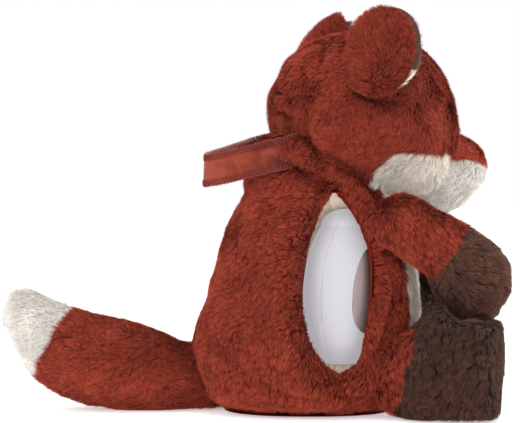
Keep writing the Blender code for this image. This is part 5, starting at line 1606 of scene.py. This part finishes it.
unit_parts = make_unit()
BTN_DIR = unit(M_OUT * 0.513 - M_FRONT * 0.858)
BTN = m_at(31.0, -17.2, 106.7)
import bmesh
door_box = bmesh.new()
bmesh.ops.create_cube(door_box, size=2.0)
for v in door_box.verts:
    v.co = Vector(m_at(v.co.x * 19.4, -30 + v.co.y * 18.0, 88 + v.co.z * 24.4)) * MM
bmesh.ops.recalc_face_normals(door_box, faces=door_box.faces)
_me = bpy.data.meshes.new("door_room")
door_box.to_mesh(_me)
door_box.free()
door_room = bpy.data.objects.new("door_room", _me)
scene.collection.objects.link(door_room)
carve(unit_parts["back"], [cylinder("button_room", BTN - BTN_DIR * 12, BTN + BTN_DIR * 12, 3.0), door_room])
for key, node, slot_ in (("back", "module_back_shell", "white_plastic"), ("front", "module_front_shell", "white_plastic"), ("panel", "module_front_panel", "grey_panel")):
    ob = unit_parts[key]
    ob.data.set_sharp_from_angle(angle=math.radians(38))
    place(ob, "module", (node,))


def give(node, mat):
    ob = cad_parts[node]
    ob.data.materials.clear() if not ob.material_slots else None
    for s_ in ob.material_slots:
        s_.material = mat
    if not ob.material_slots:
        ob.data.materials.append(mat)


DOOR = plastic_material("door_plastic", srgb(220, 217, 226), 0.42)
BUTTON = plastic_material("button_plastic", srgb(214, 211, 220), 0.3)
give("module_battery_door", DOOR)
give("power_button", BUTTON)


def metal_material(name, colour, rough):
    mat = bpy.data.materials.new(name)
    nt, bsdf = nodes_of(mat)
    tex = new(nt, "ShaderNodeTexCoord")
    n = new(nt, "ShaderNodeTexNoise", i_Scale=700.0, i_Detail=3.0)
    nt.links.new(tex.outputs["Object"], n.inputs["Vector"])
    r = new(nt, "ShaderNodeMapRange", i_To_Min=rough - 0.08, i_To_Max=rough + 0.15)
    nt.links.new(n.outputs["Fac"], r.inputs["Value"])
    nt.links.new(r.outputs["Result"], bsdf.inputs["Roughness"])
    ramp = new(nt, "ShaderNodeValToRGB")
    ramp.color_ramp.elements[0].color = (*(np.asarray(colour) * 0.8), 1)
    ramp.color_ramp.elements[1].color = (*colour, 1)
    nt.links.new(n.outputs["Fac"], ramp.inputs["Fac"])
    nt.links.new(ramp.outputs["Color"], bsdf.inputs["Base Color"])
    bsdf.inputs["Metallic"].default_value = 1.0
    return mat


STEEL = metal_material("plated_steel", (0.62, 0.62, 0.6), 0.3)
for n_ in ("door_screw", "shell_screw_a", "shell_screw_b", "shell_screw_c", "shell_screw_d", "battery_contact_lower", "battery_contact_upper"):
    give(n_, STEEL)
CELL = plastic_material("cell_sleeve", (0.05, 0.055, 0.06), 0.3, gloss=0.5)
for n_ in ("battery_a", "battery_b", "battery_c"):
    give(n_, CELL)
give("circuit_board", plastic_material("board_green", (0.02, 0.13, 0.05), 0.4, grain=0.3))
give("speaker", plastic_material("speaker_paper", (0.03, 0.03, 0.032), 0.8, grain=0.5))

print("strand triangles", TOTAL[0])
